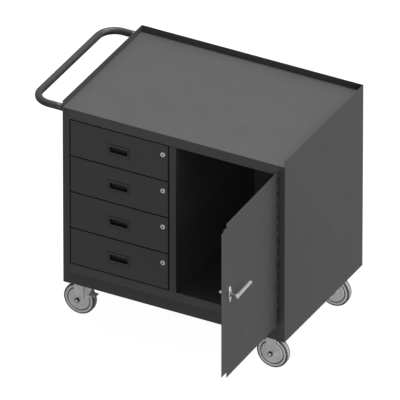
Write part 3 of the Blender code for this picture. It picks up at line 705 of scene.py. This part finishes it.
def build_shell():
    lip = (0.0, LIP_FRONT_Z, LIP_SLOPE_Y)
    # Worktop and top rail in the lighter copy of the body paint: painted light
    piece("worktop_sheet", "cabinet", "top", [sheet([
        (INNER_LEFT, INNER_RIGHT, 0.0, INNER_BACK, WORKTOP_Z - SHEET, WORKTOP_Z),
        (RAIL_LEFT, RAIL_RIGHT, 0.0, SHEET, OPEN_HIGH, WORKTOP_Z),
        (RAIL_LEFT, RAIL_RIGHT, 0.0, STILE_DEPTH, OPEN_HIGH, OPEN_HIGH + SHEET),
    ])], ["worktop"], bends=[(Y, 0.0, Z, WORKTOP_Z), (Y, 0.0, Z, OPEN_HIGH)])
    piece("left_side_sheet", "cabinet", "body", [sheet([
        (0.0, SHEET, 0.0, BODY_D, 0.0, BODY_H),
        (0.0, LEFT_STILE_X, 0.0, SHEET, 0.0, POST_TOP),
        (LEFT_STILE_X - SHEET, LEFT_STILE_X, 0.0, STILE_DEPTH, 0.0, POST_TOP),
    ], slope=lip)], ["left_side"], bends=[(X, 0.0, Y, 0.0), (X, LEFT_STILE_X, Y, 0.0)])
    piece("right_side_sheet", "cabinet", "body", [sheet([
        (BODY_W - SHEET, BODY_W, 0.0, BODY_D, 0.0, BODY_H),
        (RIGHT_STILE_X, BODY_W, 0.0, SHEET, 0.0, POST_TOP),
        (RIGHT_STILE_X, RIGHT_STILE_X + SHEET, 0.0, STILE_DEPTH, 0.0, POST_TOP),
    ], slope=lip)], ["right_side"], bends=[(X, BODY_W, Y, 0.0), (X, RIGHT_STILE_X, Y, 0.0)])
    # Back in the darker copy of the body paint: painted shade on the rear lip
    piece("back_sheet", "cabinet", "base", [
        sheet([(INNER_LEFT, INNER_RIGHT, BODY_D - SHEET, BODY_D, 0.0, BODY_H)])], ["back_panel"], bevel=0.025)
    behind = STILE_DEPTH + 2 * GAP
    # Floor and bottom rail in the lighter copy of the body paint: painted light
    piece("floor_sheet", "cabinet", "rail", [sheet([
        (RAIL_LEFT, RAIL_RIGHT, 0.0, INNER_BACK, OPEN_LOW - SHEET, OPEN_LOW),
        (INNER_LEFT, INNER_RIGHT, behind, INNER_BACK, OPEN_LOW - SHEET, OPEN_LOW),
        (RAIL_LEFT, RAIL_RIGHT, 0.0, SHEET, FLOOR_RAIL_LOW, OPEN_LOW),
    ])], ["floor_panel"], bends=[(Y, 0.0, Z, OPEN_LOW)])

    # Centre post and divider wall, slotted for the lock cams and the door's latch
    wall = CENTRE_RIGHT - SHEET
    slots = [(wall - PAST, CENTRE_RIGHT + PAST, *LATCH_SLOT)]
    cut = (CENTRE_LEFT - PAST, CENTRE_LEFT + SHEET + PAST, *CAM_SLOT_Y)
    for n in range(1, DRAWER_COUNT + 1):
        z = drawer_low(n) + LOCK_UP
        slots.append((*cut, z - 0.90, z + CAM_SLOT_ABOVE))
    piece("centre_post", "cabinet", "body", [sheet([
        (CENTRE_LEFT, CENTRE_RIGHT, 0.0, SHEET, PANEL_LOW, STILE_TOP),
        (CENTRE_LEFT, CENTRE_LEFT + SHEET, 0.0, STILE_DEPTH, PANEL_LOW, STILE_TOP),
        (wall, CENTRE_RIGHT, 0.0, behind, PANEL_LOW, STILE_TOP),
        (wall, CENTRE_RIGHT, behind, INNER_BACK, PANEL_LOW, POST_TOP),
    ], slots)], ["centre_divider"], bends=[(X, CENTRE_LEFT, Y, 0.0), (X, CENTRE_RIGHT, Y, 0.0)], merge=False)

    # Recessed base channels, the rear one facing back, in the darker copy of the body paint as painted shade
    top = FLOOR_RAIL_LOW - GAP
    channel = sheet([
        (RAIL_LEFT, RAIL_RIGHT, BASE_RECESS, BASE_RECESS + BASE_SHEET, 0.0, top),
        (RAIL_LEFT, RAIL_RIGHT, BASE_RECESS, BASE_RECESS + BASE_DEPTH, 0.0, BASE_SHEET),
        (RAIL_LEFT, RAIL_RIGHT, BASE_RECESS, BASE_RECESS + 1.5, top - BASE_SHEET, top),
    ])
    middle = sum(CASTER_Y.values()) / 2
    for end, solid, face in (("front", channel, BASE_RECESS),
                             ("rear", mirrored(channel, Y, middle), 2 * middle - BASE_RECESS)):
        piece("base_" + end, "cabinet", "base", [solid], ["base_channel_" + end],
              bends=[(Y, face, Z, 0.0), (Y, face, Z, top)], bend=0.09)


def build_push_handle():
    front, rear = HANDLE_Y
    level = [(-GAP, front), (-HANDLE_REACH / 4, front)]
    for start, cy in ((270, front + HANDLE_BEND), (180, rear - HANDLE_BEND)):
        level += arc(-HANDLE_REACH + HANDLE_BEND, cy, HANDLE_BEND, start, start - 90, 18)
    level += [(-HANDLE_REACH / 4, rear), (-GAP, rear)]
    path = [(x, y, HANDLE_Z) for x, y in level]
    # Handle tube and welds in the darker copy of the body paint: painted shade
    piece("push_handle_tube", "cabinet", "tube", [tube(path, TUBE_R, TUBE_R - TUBE_WALL, 36)],
          ["push_handle"], smooth=True)
    piece("push_handle_welds", "cabinet", "tube", [weld_bead(y) for y in HANDLE_Y], smooth=True)


# ---------------- drawers

def slide_member(kind, low, base, way):
    """A slide's channel, its flanges towards the member that it carries; way points towards the drawer."""
    x0, x1, half = SLIDES[kind]
    mid = low + SLIDE_UP
    t = THIN / 2
    web, tip = (x1 - t, x0) if kind == "inner" else (x0 + t, x1)
    path = [(tip, half - t), (web, half - t), (web, -half + t), (tip, -half + t)]
    outline = [(base + way * x, mid + z) for x, z in bent_strip(path, THIN, 0.07)]
    return prism([outline], Y, SLIDE_FRONT, SLIDE_BACK)


def build_slides():
    for name, base, way, back in (("left", SLIDE_LEFT, 1, INNER_LEFT),
                                  ("right", CENTRE_LEFT, -1, CENTRE_RIGHT - SHEET - GAP)):
        face = sorted((base, base - way * SHEET))
        fold = sorted((base, back))
        piece("slide_liner_%s_sheet" % name, "cabinet", "body", [sheet([
            (*face, *LINER_Y, PANEL_LOW, STILE_TOP),
            (*fold, LINER_Y[0], LINER_Y[0] + SHEET, PANEL_LOW, STILE_TOP),
            (*fold, LINER_Y[1] - SHEET, LINER_Y[1], PANEL_LOW, STILE_TOP),
        ])], ["slide_liner_%s" % name])
        fixed = []
        for n in range(1, DRAWER_COUNT + 1):
            fixed.append(slide_member("outer", drawer_low(n), base, way))
            z = drawer_low(n) + SLIDE_UP
            for y in (3.0, 11.0, 19.0):
                fixed.append(disc(X, (base + way * (THIN + 0.012), y, z), 0.17, -0.012, 0.012, 24))
        piece("fixed_slides_%s" % name, "cabinet", "zinc", fixed, bevel=0.008, steps=1)


def build_front(body, low):
    """Pan of one drawer's front, with a raised pull rim round a deep cup."""
    high = low + DRAWER_H
    pull_z, lock_z = low + PULL_UP, low + LOCK_UP
    cut = (DRAWER_RIGHT - SHEET - PAST, DRAWER_RIGHT + PAST, *CAM_SLOT_Y)
    bends = [(Y, 0.0, Z, low), (Y, 0.0, Z, high), (Y, 0.0, X, DRAWER_LEFT), (Y, 0.0, X, DRAWER_RIGHT)]

    def outline(half, radius):
        return round_box(PULL_X - half[0], PULL_X + half[0], pull_z - half[1], pull_z + half[1], radius)

    piece(body + "_pan", body, "drawer", [sheet([
        (DRAWER_LEFT, DRAWER_RIGHT, 0.0, SHEET, low, high),
        (DRAWER_LEFT, DRAWER_LEFT + SHEET, 0.0, PAN_DEPTH, low, high),
        (DRAWER_RIGHT - SHEET, DRAWER_RIGHT, 0.0, PAN_DEPTH, low, high),
        (DRAWER_LEFT, DRAWER_RIGHT, 0.0, PAN_DEPTH, low, low + SHEET),
        (DRAWER_LEFT, DRAWER_RIGHT, 0.0, PAN_DEPTH, high - SHEET, high),
    ], [
        (PULL_X - PULL_HOLE[0], PULL_X + PULL_HOLE[0], -PAST, 2 * PAST,
         pull_z - PULL_HOLE[1], pull_z + PULL_HOLE[1]),
        (LOCK_X - LOCK_HOLE, LOCK_X + LOCK_HOLE, -PAST, 2 * PAST, lock_z - LOCK_HOLE, lock_z + LOCK_HOLE),
        (*cut, lock_z - 1.20, lock_z + CAM_SLOT_ABOVE),
    ])], [body + "_front"], bends=bends, bend=0.05)

    cup = outline(PULL_CUP, 0.10)
    outside = outline(PULL_CUP_OUTSIDE, 0.13)
    # Black flange behind the rim; its margin round the rim is a painted shadow line
    shadow_flange = prism([outline(PULL_SHADOW_FLANGE, 0.16), outline(PULL_FLANGE_HOLE, 0.10)], Y, FLANGE_Y, -GAP)
    rim = prism([outline(PULL_RIM, 0.14), cup], Y, RIM_Y, FLANGE_Y)
    piece(body + "_pull_rim", body, "frame", [rim], bevel=0.02, steps=3, merge=False)
    # Cup walls and bottom in black plastic, partly standing in as painted shade deep in the recess
    walls = prism([outside, cup], Y, -0.020, PULL_DEPTH - 0.035)
    bottom = prism([outside], Y, PULL_DEPTH - 0.04, PULL_DEPTH)
    piece(body + "_pull_cup", body, "black", [shadow_flange, walls, bottom], [body + "_pull"], bevel=0.008, steps=1)


def build_lock(n, body, z):
    """Keyed lock: a ring and barrel in the front, and a plug with its keyway and cam that turn."""
    lock = "lock_%d" % n
    front = -LOCK_PROUD
    r = LOCK_RING_R
    profile = [(LOCK_BORE, front + 0.03), (LOCK_BORE + 0.02, front), (r - 0.08, front),
               (r - 0.025, front + 0.02), (r, front + 0.07), (r, -GAP), (LOCK_BARREL_R, -GAP),
               (LOCK_BARREL_R, 0.42), (LOCK_BORE, 0.42)]
    piece(body + "_lock_ring", body, "chrome", [turned(profile, Y, (LOCK_X, 0.0, z), 40)],
          [body + "_lock_barrel"], bevel=0.006)

    plug_y = front + 0.02
    half_w, half_h = KEYWAY
    key = rectangle(LOCK_X - half_w, LOCK_X + half_w, z - half_h, z + half_h)
    face = prism([circle(LOCK_X, z, PLUG_R, 32), key], Y, plug_y, plug_y + 0.10)
    core = prism([circle(LOCK_X, z, PLUG_R - 0.001, 32)], Y, plug_y + 0.10, 0.44)
    piece(body + "_plug", lock, "zinc", [face, core], [body + "_lock_plug"], bevel=0.006, merge=False)
    # Black disc at the bottom of the keyway: painted shade in the keyhole
    dark = prism([circle(LOCK_X, z, PLUG_R - 0.02, 32)], Y, plug_y + 0.055, plug_y + 0.11)
    piece(body + "_keyway_shade", lock, "shade_black", [dark], bevel=0.0)

    tip, half = z - CAM_REACH, CAM_HALF
    cam = [(LOCK_X - half, z + 0.12), *arc(LOCK_X, z, half, 150, 30, 8)[1:], (LOCK_X + half, tip + 0.10),
           (LOCK_X + 0.11, tip), (LOCK_X - 0.11, tip), (LOCK_X - half, tip + 0.10)]
    nut = hex_head(Y, (LOCK_X, CAM_Y + CAM_T, z), 0.26, 0.10, 1)
    piece(body + "_cam", lock, "zinc", [prism([cam], Y, CAM_Y, CAM_Y + CAM_T), nut], bevel=0.01)


def build_box(n, body, low):
    """Drawer box with hemmed rims, its runners and the slide members that follow it."""
    z0, z1 = [low + up for up in BOX_UP]
    x0, x1, y0, y1 = SLIDE_LEFT + SLIDE_SPACE, CENTRE_LEFT - SLIDE_SPACE, PAN_DEPTH + 0.015, BOX_BACK
    piece(body + "_tray", body, "body", [sheet([
        (x0, x1, y0, y1, z0, z1),
    ], [
        (x0 + THIN, x1 - THIN, y0 + THIN, y1 - THIN, z0 + THIN, z1 - HEM_DROP),
        (x0 + THIN + HEM, x1 - THIN - HEM, y0 + THIN, y1 - THIN - HEM, z0 + THIN, z1 + PAST),
    ])], [body + "_box"], bevel=0.02)
    sides = (("left", SLIDE_LEFT, 1), ("right", CENTRE_LEFT, -1))
    runners = [slide_member("inner", low, base, way) for _, base, way in sides]
    piece(body + "_runners", body, "zinc", runners, bevel=0.008, steps=1)
    for side, base, way in sides:
        carrier = slide_member("middle", low, base, way)
        piece(body + "_%s_carrier" % side, "slides_%d" % n, "zinc", [carrier],
              [body + "_slide_" + side], bevel=0.008, steps=1)


def build_drawer(n):
    body, low = "drawer_%d" % n, drawer_low(n)
    build_front(body, low)
    build_lock(n, body, low + LOCK_UP)
    build_box(n, body, low)


# ---------------- door

def build_door_sheets():
    inner = DOOR_OUTER_Y + SHEET
    edge = HINGE_X - HINGE_R - 0.015
    free, notch = DOOR_FREE_X, DOOR_FREE_X + NOTCH[0]
    foot, head = DOOR_LOW + NOTCH[1], DOOR_HIGH - NOTCH[1]
    outline = [(notch, DOOR_LOW), (edge, DOOR_LOW), (edge, DOOR_HIGH), (notch, DOOR_HIGH),
               (notch, head), (free, head), (free, foot), (notch, foot)]
    piece("door_sheet", "door", "door",
          [prism([outline, circle(SPINDLE_X, SPINDLE_Z, SPINDLE_R + 0.03, 32)], Y, DOOR_OUTER_Y, inner)],
          ["door_skin"], bevel=0.025, steps=3)
    left, right, low, high, back, hole = 18.85, 33.90, 4.00, 27.10, PAN_BACK, 0.40
    piece("door_inner_pan", "door", "door", [sheet(
        [(left, right, inner + GAP, back, low, high)],
        [(left + THIN, right - THIN, inner - PAST, back - THIN, low + THIN, high - THIN),
         (SPINDLE_X - hole, SPINDLE_X + hole, 0.0, back + PAST, SPINDLE_Z - hole, SPINDLE_Z + hole)])],
          ["door_stiffener"],
          bends=[(Y, back, X, left), (Y, back, X, right), (Y, back, Z, low), (Y, back, Z, high)], bend=0.045)


def knuckle_span(n):
    """Bottom and top of one knuckle, counted from 0 at the bottom."""
    length = (DOOR_HIGH - DOOR_LOW) / KNUCKLES
    return DOOR_LOW + n * length + 0.012, DOOR_LOW + (n + 1) * length - 0.012


def knuckle(n):
    bore, soft = 0.055, 0.012
    z0, z1 = knuckle_span(n)
    return turned([(bore, z0), (HINGE_R - soft, z0), (HINGE_R, z0 + soft), (HINGE_R, z1 - soft),
                   (HINGE_R - soft, z1), (bore, z1)], Z, (HINGE_X, HINGE_Y, 0.0), 28)


def build_hinge():
    """Continuous hinge: the frame's leaf keeps the pin, six screws and every other knuckle."""
    x1 = HINGE_X + HINGE_R
    x0 = x1 - HINGE_SHEET
    frame_side, door_side = range(1, KNUCKLES, 2), range(0, KNUCKLES, 2)
    fixed = [knuckle(n) for n in frame_side]
    fixed += [sheet([(x0, x1, HINGE_Y, HINGE_Y + 0.20, *knuckle_span(n))]) for n in frame_side]
    fixed.append(sheet([(x0, x1, HINGE_Y + 0.145, HINGE_Y + 0.80, OPEN_LOW + 0.06, OPEN_HIGH - 0.06)]))
    for n in range(6):
        fixed.append(turned([(0.0, -0.05), (0.07, -0.045), (0.12, -0.02), (0.13, 0.0), (0.0, 0.0)],
                            X, (x0, HINGE_Y + 0.50, 5.2 + n * 4.1), 20))
    fixed.append(turned([(0.0, DOOR_LOW), (PIN_R, DOOR_LOW), (PIN_R, DOOR_HIGH), (0.0, DOOR_HIGH)],
                        Z, (HINGE_X, HINGE_Y, 0.0), 16))
    # Both leaves in the darker hinge copy of the paint: painted shade along the hinge line
    piece("hinge_fixed_leaf", "cabinet", "hinge", fixed, ["hinge_frame_leaf"], bevel=0.0)

    y1 = HINGE_Y + HINGE_R
    y0 = y1 - HINGE_SHEET - 0.001
    moving = [knuckle(n) for n in door_side]
    moving += [sheet([(HINGE_X - 0.20, HINGE_X, y0, y1, *knuckle_span(n))]) for n in door_side]
    moving.append(sheet([(HINGE_X - 0.80, HINGE_X - 0.145, y0, y1, DOOR_LOW + 0.05, DOOR_HIGH - 0.05)]))
    piece("hinge_moving_leaf", "door", "hinge", moving, ["hinge_door_leaf"], bevel=0.0)


def build_handle():
    """Plate, spindle and lever outside the door, and the latch cam that turns with them inside."""
    x, z = SPINDLE_X, SPINDLE_Z
    piece("handle_plate", "door", "chrome", [handle_plate(x, DOOR_OUTER_Y - GAP, z)],
          ["handle_escutcheon"], smooth=True)
    out = DOOR_OUTER_Y - LEVER_OUT
    start, stop = out + 0.10, 0.953
    shaft = turned([(0.0, start), (SPINDLE_R, start), (SPINDLE_R, stop), (0.0, stop)], Y, (x, 0.0, z), 28)
    piece("door_spindle", "door_latch", "spindle", [shaft])
    hub = arc(x, z, 0.33, 60, 300, 18)
    grip = [(x + 0.6, z - 0.24), (x + 4.30, z - 0.07), (x + 4.45, z + 0.03), (x + 4.45, z + 0.18),
            (x + 4.30, z + 0.28), (x + 0.6, z + 0.20)]
    piece("door_lever_arm", "door_latch", "chrome", [prism([hub + grip], Y, out, out + LEVER_T)],
          ["door_lever"], bevel=0.04, steps=3, corner=30.0)

    tip, half, end = z - LATCH_REACH, LATCH_HALF, LATCH_Y + LATCH_T
    cam = arc(x, z, half, 180, 0, 12) + [(x + half, tip + 0.15), (x + 0.10, tip), (x - 0.10, tip),
                                         (x - half, tip + 0.15)]
    piece("latch_tongue", "door_latch", "zinc", [
        prism([cam], Y, LATCH_Y, end), disc(Y, (x, end, z), 0.24, 0.0, 0.05),
        hex_head(Y, (x, end + 0.05, z), 0.40, 0.22, 1), disc(Y, (x, end + 0.27, z), 0.13, 0.0, 0.15, 24),
    ], ["latch_cam"], bevel=0.015)


# ---------------- casters

def rigid_leg(x):
    """Rigid caster's leg: straight sides drawn in to a rounded foot about the axle."""
    left, right, top, bottom = x - LEG_HALF, x + LEG_HALF, -0.10, -2.45
    foot = arc(x, AXLE_Z, FOOT_R, 175, 365, 20)
    return [[(right, bottom), (right, top), (left, top), (left, bottom)] + foot]


def fork_leg(x):
    """Swivel fork's leg: wide at the top and cut back behind the axle, with a long slot."""
    foot = arc(x, AXLE_Z, FOOT_R, 180, 330, 16)
    left, right, top = 0.95, 3.85, -0.455
    slot = arc(FORK_SLOT_X, -1.02, 0.07, 0, 180, 8) + arc(FORK_SLOT_X, -2.93, 0.07, 180, 360, 8)
    return [[(right, top), (left, top), (left, -3.30)] + foot + [(3.02, -2.85), (right, -1.20)], slot]


def both_sides(x, y, half, closed=True):
    """A wheel's profile turned about its axle: one half mirrored on the other, or two separate rings."""
    centre = (x, y, AXLE_Z)
    back = [(r, -h) for r, h in half]
    if closed:
        return [turned(half + back[::-1], Y, centre, 72)]
    return [turned(half, Y, centre, 72), turned(back, Y, centre, 72)]


def wheel_parts(x, y):
    """Tread, core with the rim's light ring, and dark rings painted as shade in the grooves beside that ring
    and on the tread's rounded edge.
    """
    w = WHEEL_HALF
    side = w - 0.075
    tread = both_sides(x, y, [(2.20, 0.40), (2.30, side - 0.075), (2.36, side - 0.07), (2.42, side - 0.12),
                              (2.465, side - 0.19), (2.49, side - 0.28), (WHEEL_R, side - 0.38),
                              (WHEEL_R, 0.08)])
    core = both_sides(x, y, [(0.205, 0.70), (0.50, 0.70), (0.54, 0.67), (0.57, w + 0.005), (0.62, w - 0.003),
                             (0.75, w - 0.010), (1.30, w - 0.010), (1.42, w - 0.005), (1.50, w), (1.62, w),
                             (1.665, w - 0.008), (1.70, w - 0.03), (1.715, side - 0.06), (1.75, side - 0.07),
                             (1.75, 0.40)])
    rim = both_sides(x, y, [(1.90, 0.42), (1.905, side - 0.03), (1.93, side), (2.00, side + 0.01),
                            (2.19, side + 0.01), (2.23, side - 0.01), (2.245, side - 0.05),
                            (2.23, 0.42)], False)
    # Dark rings in the grooves beside the rim's light ring: painted shade
    groove_shades = both_sides(x, y, [(1.70, 0.40), (1.70, side - 0.085), (1.92, side - 0.085), (1.92, 0.40)], False)
    groove_shades += both_sides(x, y, [(2.25, 0.40), (2.25, side - 0.06), (2.345, side - 0.06), (2.345, 0.40)], False)
    # Dark ring on the tread's rounded edge: painted shade
    shoulder_shade = both_sides(x, y, [(2.25, side - 0.14), (2.26, side - 0.035), (2.40, side - 0.03),
                                 (2.455, side - 0.07), (2.485, side - 0.15), (2.495, side - 0.24),
                                 (2.42, side - 0.28)], False)
    return tread, core + rim, groove_shades, shoulder_shade


def leg_pair(outline, y):
    """The same leg on both sides of the wheel."""
    return [prism(outline, Y, y + LEG_IN, y + LEG_OUT), prism(outline, Y, y - LEG_OUT, y - LEG_IN)]


def build_axle(name, body, x, y):
    """Axle bolt with its washers and rear nut; on the front side the bolt's long head stands in a black ring
    that is painted shade round the axle.
    """
    centre = (x, y, AXLE_Z)
    end = LEG_OUT - 0.02
    bolt = [turned([(0.0, -end), (0.18, -end), (0.18, end), (0.0, end)], Y, centre, 24)]
    for way in (-1, 1):
        near, far = way * LEG_OUT, way * (LEG_OUT + WASHER)
        bolt.append(turned([(0.19, near), (0.44, near), (0.44, far), (0.19, far)], Y, centre, 32))
    bolt.append(hex_head(Y, (x, y + LEG_OUT + WASHER, AXLE_Z), 0.50, 0.18, 1))
    bolt.append(disc(Y, (x, y + LEG_OUT + 0.20, AXLE_Z), 0.13, 0.0, 0.07, 20))
    start, stop = -LEG_OUT - WASHER, -LEG_OUT - 0.39
    bolt.append(disc(Y, centre, 0.26, stop - 0.035, stop, 32))
    # Black ring round the front end of the bolt: painted shade round the axle
    shade_black = turned([(0.20, start), (0.37, start), (0.37, stop + 0.03), (0.34, stop), (0.20, stop)],
                    Y, centre, 36)
    piece(name + "_axle", body, "zinc", bolt, bevel=0.01)
    piece(name + "_axle_shade_ring", body, "shade_black", [shade_black], bevel=0.01)


def top_plate(x, y):
    outline = round_box(x - PLATE_REACH, x + PLATE_REACH, y - PLATE_REACH, y + PLATE_REACH, 0.30)
    return prism([outline], Z, PLATE_LOW, -GAP)


def plate_bolts(x, y):
    """Four bolts through a caster's plate and the base, each with its head, washers and nut."""
    parts = []
    for sx, sy in product((-1, 1), (-1, 1)):
        at = (x + sx * BOLT_AT, y + sy * BOLT_AT)
        parts.append(disc(Z, (*at, PLATE_LOW), 0.26, -0.045, 0.0, 28))
        parts.append(hex_head(Z, (*at, PLATE_LOW - 0.045), 0.44, 0.17, -1))
        parts.append(disc(Z, (*at, BASE_SHEET), 0.24, 0.0, WASHER, 28))
        parts.append(hex_head(Z, (*at, BASE_SHEET + WASHER), 0.44, 0.22, 1))
        parts.append(disc(Z, (*at, BASE_SHEET + 0.26), 0.14, 0.0, 0.10, 20))
    return parts


def brake_parts(y):
    """Foot plate above the tread, its inner edge turned up towards the back, on an arm outside the fork."""
    near, far = y - 1.44, y - 0.22
    left, right, top = 3.61, 4.74, -1.84
    pad = [(left, near + 0.06), (left + 0.06, near), (right - 0.12, near), (right, near + 0.12),
           (right, far), (left, far)]
    foot = [prism([pad], Z, top - 0.10, top)]
    for n in range(4):
        rib = near + 0.20 + 0.22 * n
        outline = rectangle(left + 0.22, right - 0.14, rib, rib + 0.07)
        foot.append(prism([outline], Z, top - 0.01, top + 0.025))
    fin = [(near + 0.10, top - 0.05), (far, top - 0.05), (far, top + 0.20), (far - 0.05, top + 0.20)]
    foot.append(prism([fin], X, left, left + 0.09))
    arm = arc(BRAKE_X, BRAKE_Z, 0.24, 120, 300, 14)
    arm += [(3.75, -2.35), (4.45, -2.00), (4.45, top - 0.05), (3.72, top - 0.05), (3.45, -2.05)]
    out = y - LEG_OUT - 0.015
    rivet = turned([(0.0, -0.115), (0.06, -0.105), (0.11, -0.07), (0.11, 0.0), (0.0, 0.0)], Y,
                   (BRAKE_X, out, BRAKE_Z), 20)
    return foot, [prism([arm], Y, out - 0.07, out), rivet]


def build_wheel(name, x, y, finish="tread"):
    tread, core, groove_shades, shoulder_shade = wheel_parts(x, y)
    piece(name + "_tread", name, finish, tread, [name], smooth=True)
    piece(name + "_shoulder", name, "shoulder_shade", shoulder_shade, smooth=True)
    piece(name + "_core", name, "core", core, smooth=True)
    piece(name + "_seam", name, "groove_shade", groove_shades, smooth=True)


def build_swivel(name, y):
    """Swivel caster: plate with its race, fork, wheel and brake pedal."""
    race = turned([(0.0, -0.12), (1.02, -0.12), (1.08, -0.17), (1.15, -0.22), (1.15, -0.40), (1.10, -0.44),
                   (0.95, -0.44), (0.93, -0.40), (0.28, -0.40), (0.26, -0.44), (0.20, -0.44),
                   (0.20, -0.66), (0.0, -0.66)], Z, (KINGPIN_X, y, 0.0), 48)
    nut = hex_head(Z, (KINGPIN_X, y, -0.66), 0.56, 0.14, -1)
    piece(name + "_top", "cabinet", "zinc", [top_plate(KINGPIN_X, y), race, nut], [name + "_plate"])
    piece(name + "_bolts", "cabinet", "zinc", plate_bolts(KINGPIN_X, y), bevel=0.006, steps=1)
    crown = prism([round_box(0.96, 3.84, y - LEG_OUT + 0.06, y + LEG_OUT - 0.06, 0.10),
                   circle(KINGPIN_X, y, 0.215, 32)], Z, -0.63, -0.465)
    rivets = []
    for (x, z), way in product(((FORK_SLOT_X, -3.02), (1.25, -0.80)), (-1, 1)):
        dome = [(0.0, way * 0.04), (0.05, way * 0.035), (0.08, way * 0.015), (0.085, 0.0), (0.0, 0.0)]
        rivets.append(turned(dome, Y, (x, y + way * LEG_OUT, z), 18))
    piece(name + "_fork_steel", name, "zinc", [crown] + leg_pair(fork_leg(SWIVEL_X), y) + rivets,
          [name + "_fork"], bevel=0.02, steps=3)
    build_axle(name, name, SWIVEL_X, y)
    # Swivel wheels take the darker tread copy: painted shade
    build_wheel(name + "_wheel", SWIVEL_X, y, "tread_painted_shade")
    foot, arm = brake_parts(y)
    # Pedal in the lightened paint: painted light
    piece(name + "_pedal", name + "_brake", "pedal", foot, [name + "_brake"], bevel=0.02)
    piece(name + "_pedal_arm", name + "_brake", "zinc", arm)


def build_rigid(name, y):
    """Rigid caster: bracket with its two legs, and wheel."""
    piece(name + "_bracket", "cabinet", "zinc", [top_plate(RIGID_X, y)] + leg_pair(rigid_leg(RIGID_X), y),
          [name + "_frame"], bevel=0.03, steps=3)
    build_axle(name, "cabinet", RIGID_X, y)
    piece(name + "_bolts", "cabinet", "zinc", plate_bolts(RIGID_X, y), bevel=0.006, steps=1)
    build_wheel(name + "_wheel", RIGID_X, y)


# ---------------- studio

def build_floor():
    """Pale ground that is seen but neither lights the object nor shows in its shine."""
    reach = 120.0
    mesh = bpy.data.meshes.new("studio_floor")
    mesh.from_pydata([(x, y, 0.0) for x, y in rectangle(-reach, reach, -reach, reach)], [], [range(4)])
    floor = stand("studio_floor", mesh)
    floor.location.z = cad_low.z - 0.0005
    s = Shader("pale_floor", grey(0.10), 0.9, Specular_IOR_Level=0.0, Emission_Color=WHITE,
               Emission_Strength=0.97)
    s.link(s.ramp(s.noise(0.6, 2.0), [(0.3, grey(0.10)), (0.7, grey(0.12))]), s.bsdf.inputs["Base Color"])
    mesh.materials.append(s.material)
    floor.visible_diffuse = False
    floor.visible_glossy = False


def softbox(name, place, size, power):
    """Broad lamp turned to the middle of the object."""
    light = bpy.data.lights.new(name, "AREA")
    light.shape = "RECTANGLE"
    light.size, light.size_y = size
    light.energy = power
    thing = stand(name, light)
    thing.location = place
    aim = Vector((0.0, 0.0, 0.45)) - Vector(place)
    thing.rotation_euler = aim.to_track_quat("-Z", "Y").to_euler()
    thing.visible_camera = False


def distant(name, towards, strength, spread):
    """Even light from one direction."""
    light = bpy.data.lights.new(name, "SUN")
    light.energy = strength
    light.angle = math.radians(spread)
    thing = stand(name, light)
    thing.location = Vector(towards) * 3.0
    thing.rotation_euler = Vector(towards).to_track_quat("Z", "Y").to_euler()


def build_studio():
    """White surroundings, with their own strength as light, in shine and behind the object, and lamps."""
    world = bpy.data.worlds.new("studio")
    bpy.context.scene.world = world
    world.use_nodes = True
    tree = world.node_tree
    rays = tree.nodes.new("ShaderNodeLightPath")
    lit = tree.nodes["Background"]
    lit.inputs["Color"].default_value = WHITE
    lit.inputs["Strength"].default_value = 0.17
    shader = lit.outputs["Background"]
    for ray, strength in (("Is Glossy Ray", 0.48), ("Is Camera Ray", 1.0)):
        back = tree.nodes.new("ShaderNodeBackground")
        back.inputs["Color"].default_value = WHITE
        back.inputs["Strength"].default_value = strength
        mix = tree.nodes.new("ShaderNodeMixShader")
        tree.links.new(rays.outputs[ray], mix.inputs["Fac"])
        tree.links.new(shader, mix.inputs[1])
        tree.links.new(back.outputs["Background"], mix.inputs[2])
        shader = mix.outputs["Shader"]
    tree.links.new(shader, tree.nodes["World Output"].inputs["Surface"])
    softbox("overhead", (0.3, 0.4, 4.2), (3.6, 3.6), 34.0)
    softbox("right_side", (4.0, 0.6, 1.6), (2.6, 2.6), 16.0)
    softbox("front_low", (1.6, -4.2, 1.3), (3.0, 2.4), 14.0)
    softbox("left_side", (-4.0, 0.5, 1.6), (2.6, 2.6), 5.0)
    distant("top", (0.05, 0.30, 1.0), 3.25, 15.0)
    distant("right", (1.0, 0.10, 0.45), 2.52, 60.0)
    distant("front", (0.40, -1.0, 0.06), 1.04, 25.0)


def build_camera():
    azimuth, elevation = math.radians(27.94), math.radians(31.18)
    back = Vector((math.sin(azimuth) * math.cos(elevation), -math.cos(azimuth) * math.cos(elevation),
                   math.sin(elevation)))
    data = bpy.data.cameras.new("camera")
    data.lens = 1650.0
    data.sensor_width = 36.0
    data.clip_end = 200.0
    camera = stand("camera", data)
    framed, ahead = 1.4625, 0.26
    target = at_rest((22.375, 0.0, 20.07), False)
    camera.location = target + back * (framed * data.lens / data.sensor_width - ahead)
    camera.rotation_euler = (-back).to_track_quat("-Z", "Y").to_euler()
    bpy.context.scene.camera = camera


build_shell()
build_push_handle()
build_slides()
for number in range(1, DRAWER_COUNT + 1):
    build_drawer(number)
build_door_sheets()
build_hinge()
build_handle()
for end, caster_y in CASTER_Y.items():
    build_swivel("swivel_" + end, caster_y)
    build_rigid("rigid_" + end, caster_y)
build_floor()
build_studio()
build_camera()
bpy.context.scene.view_settings.view_transform = "Standard"
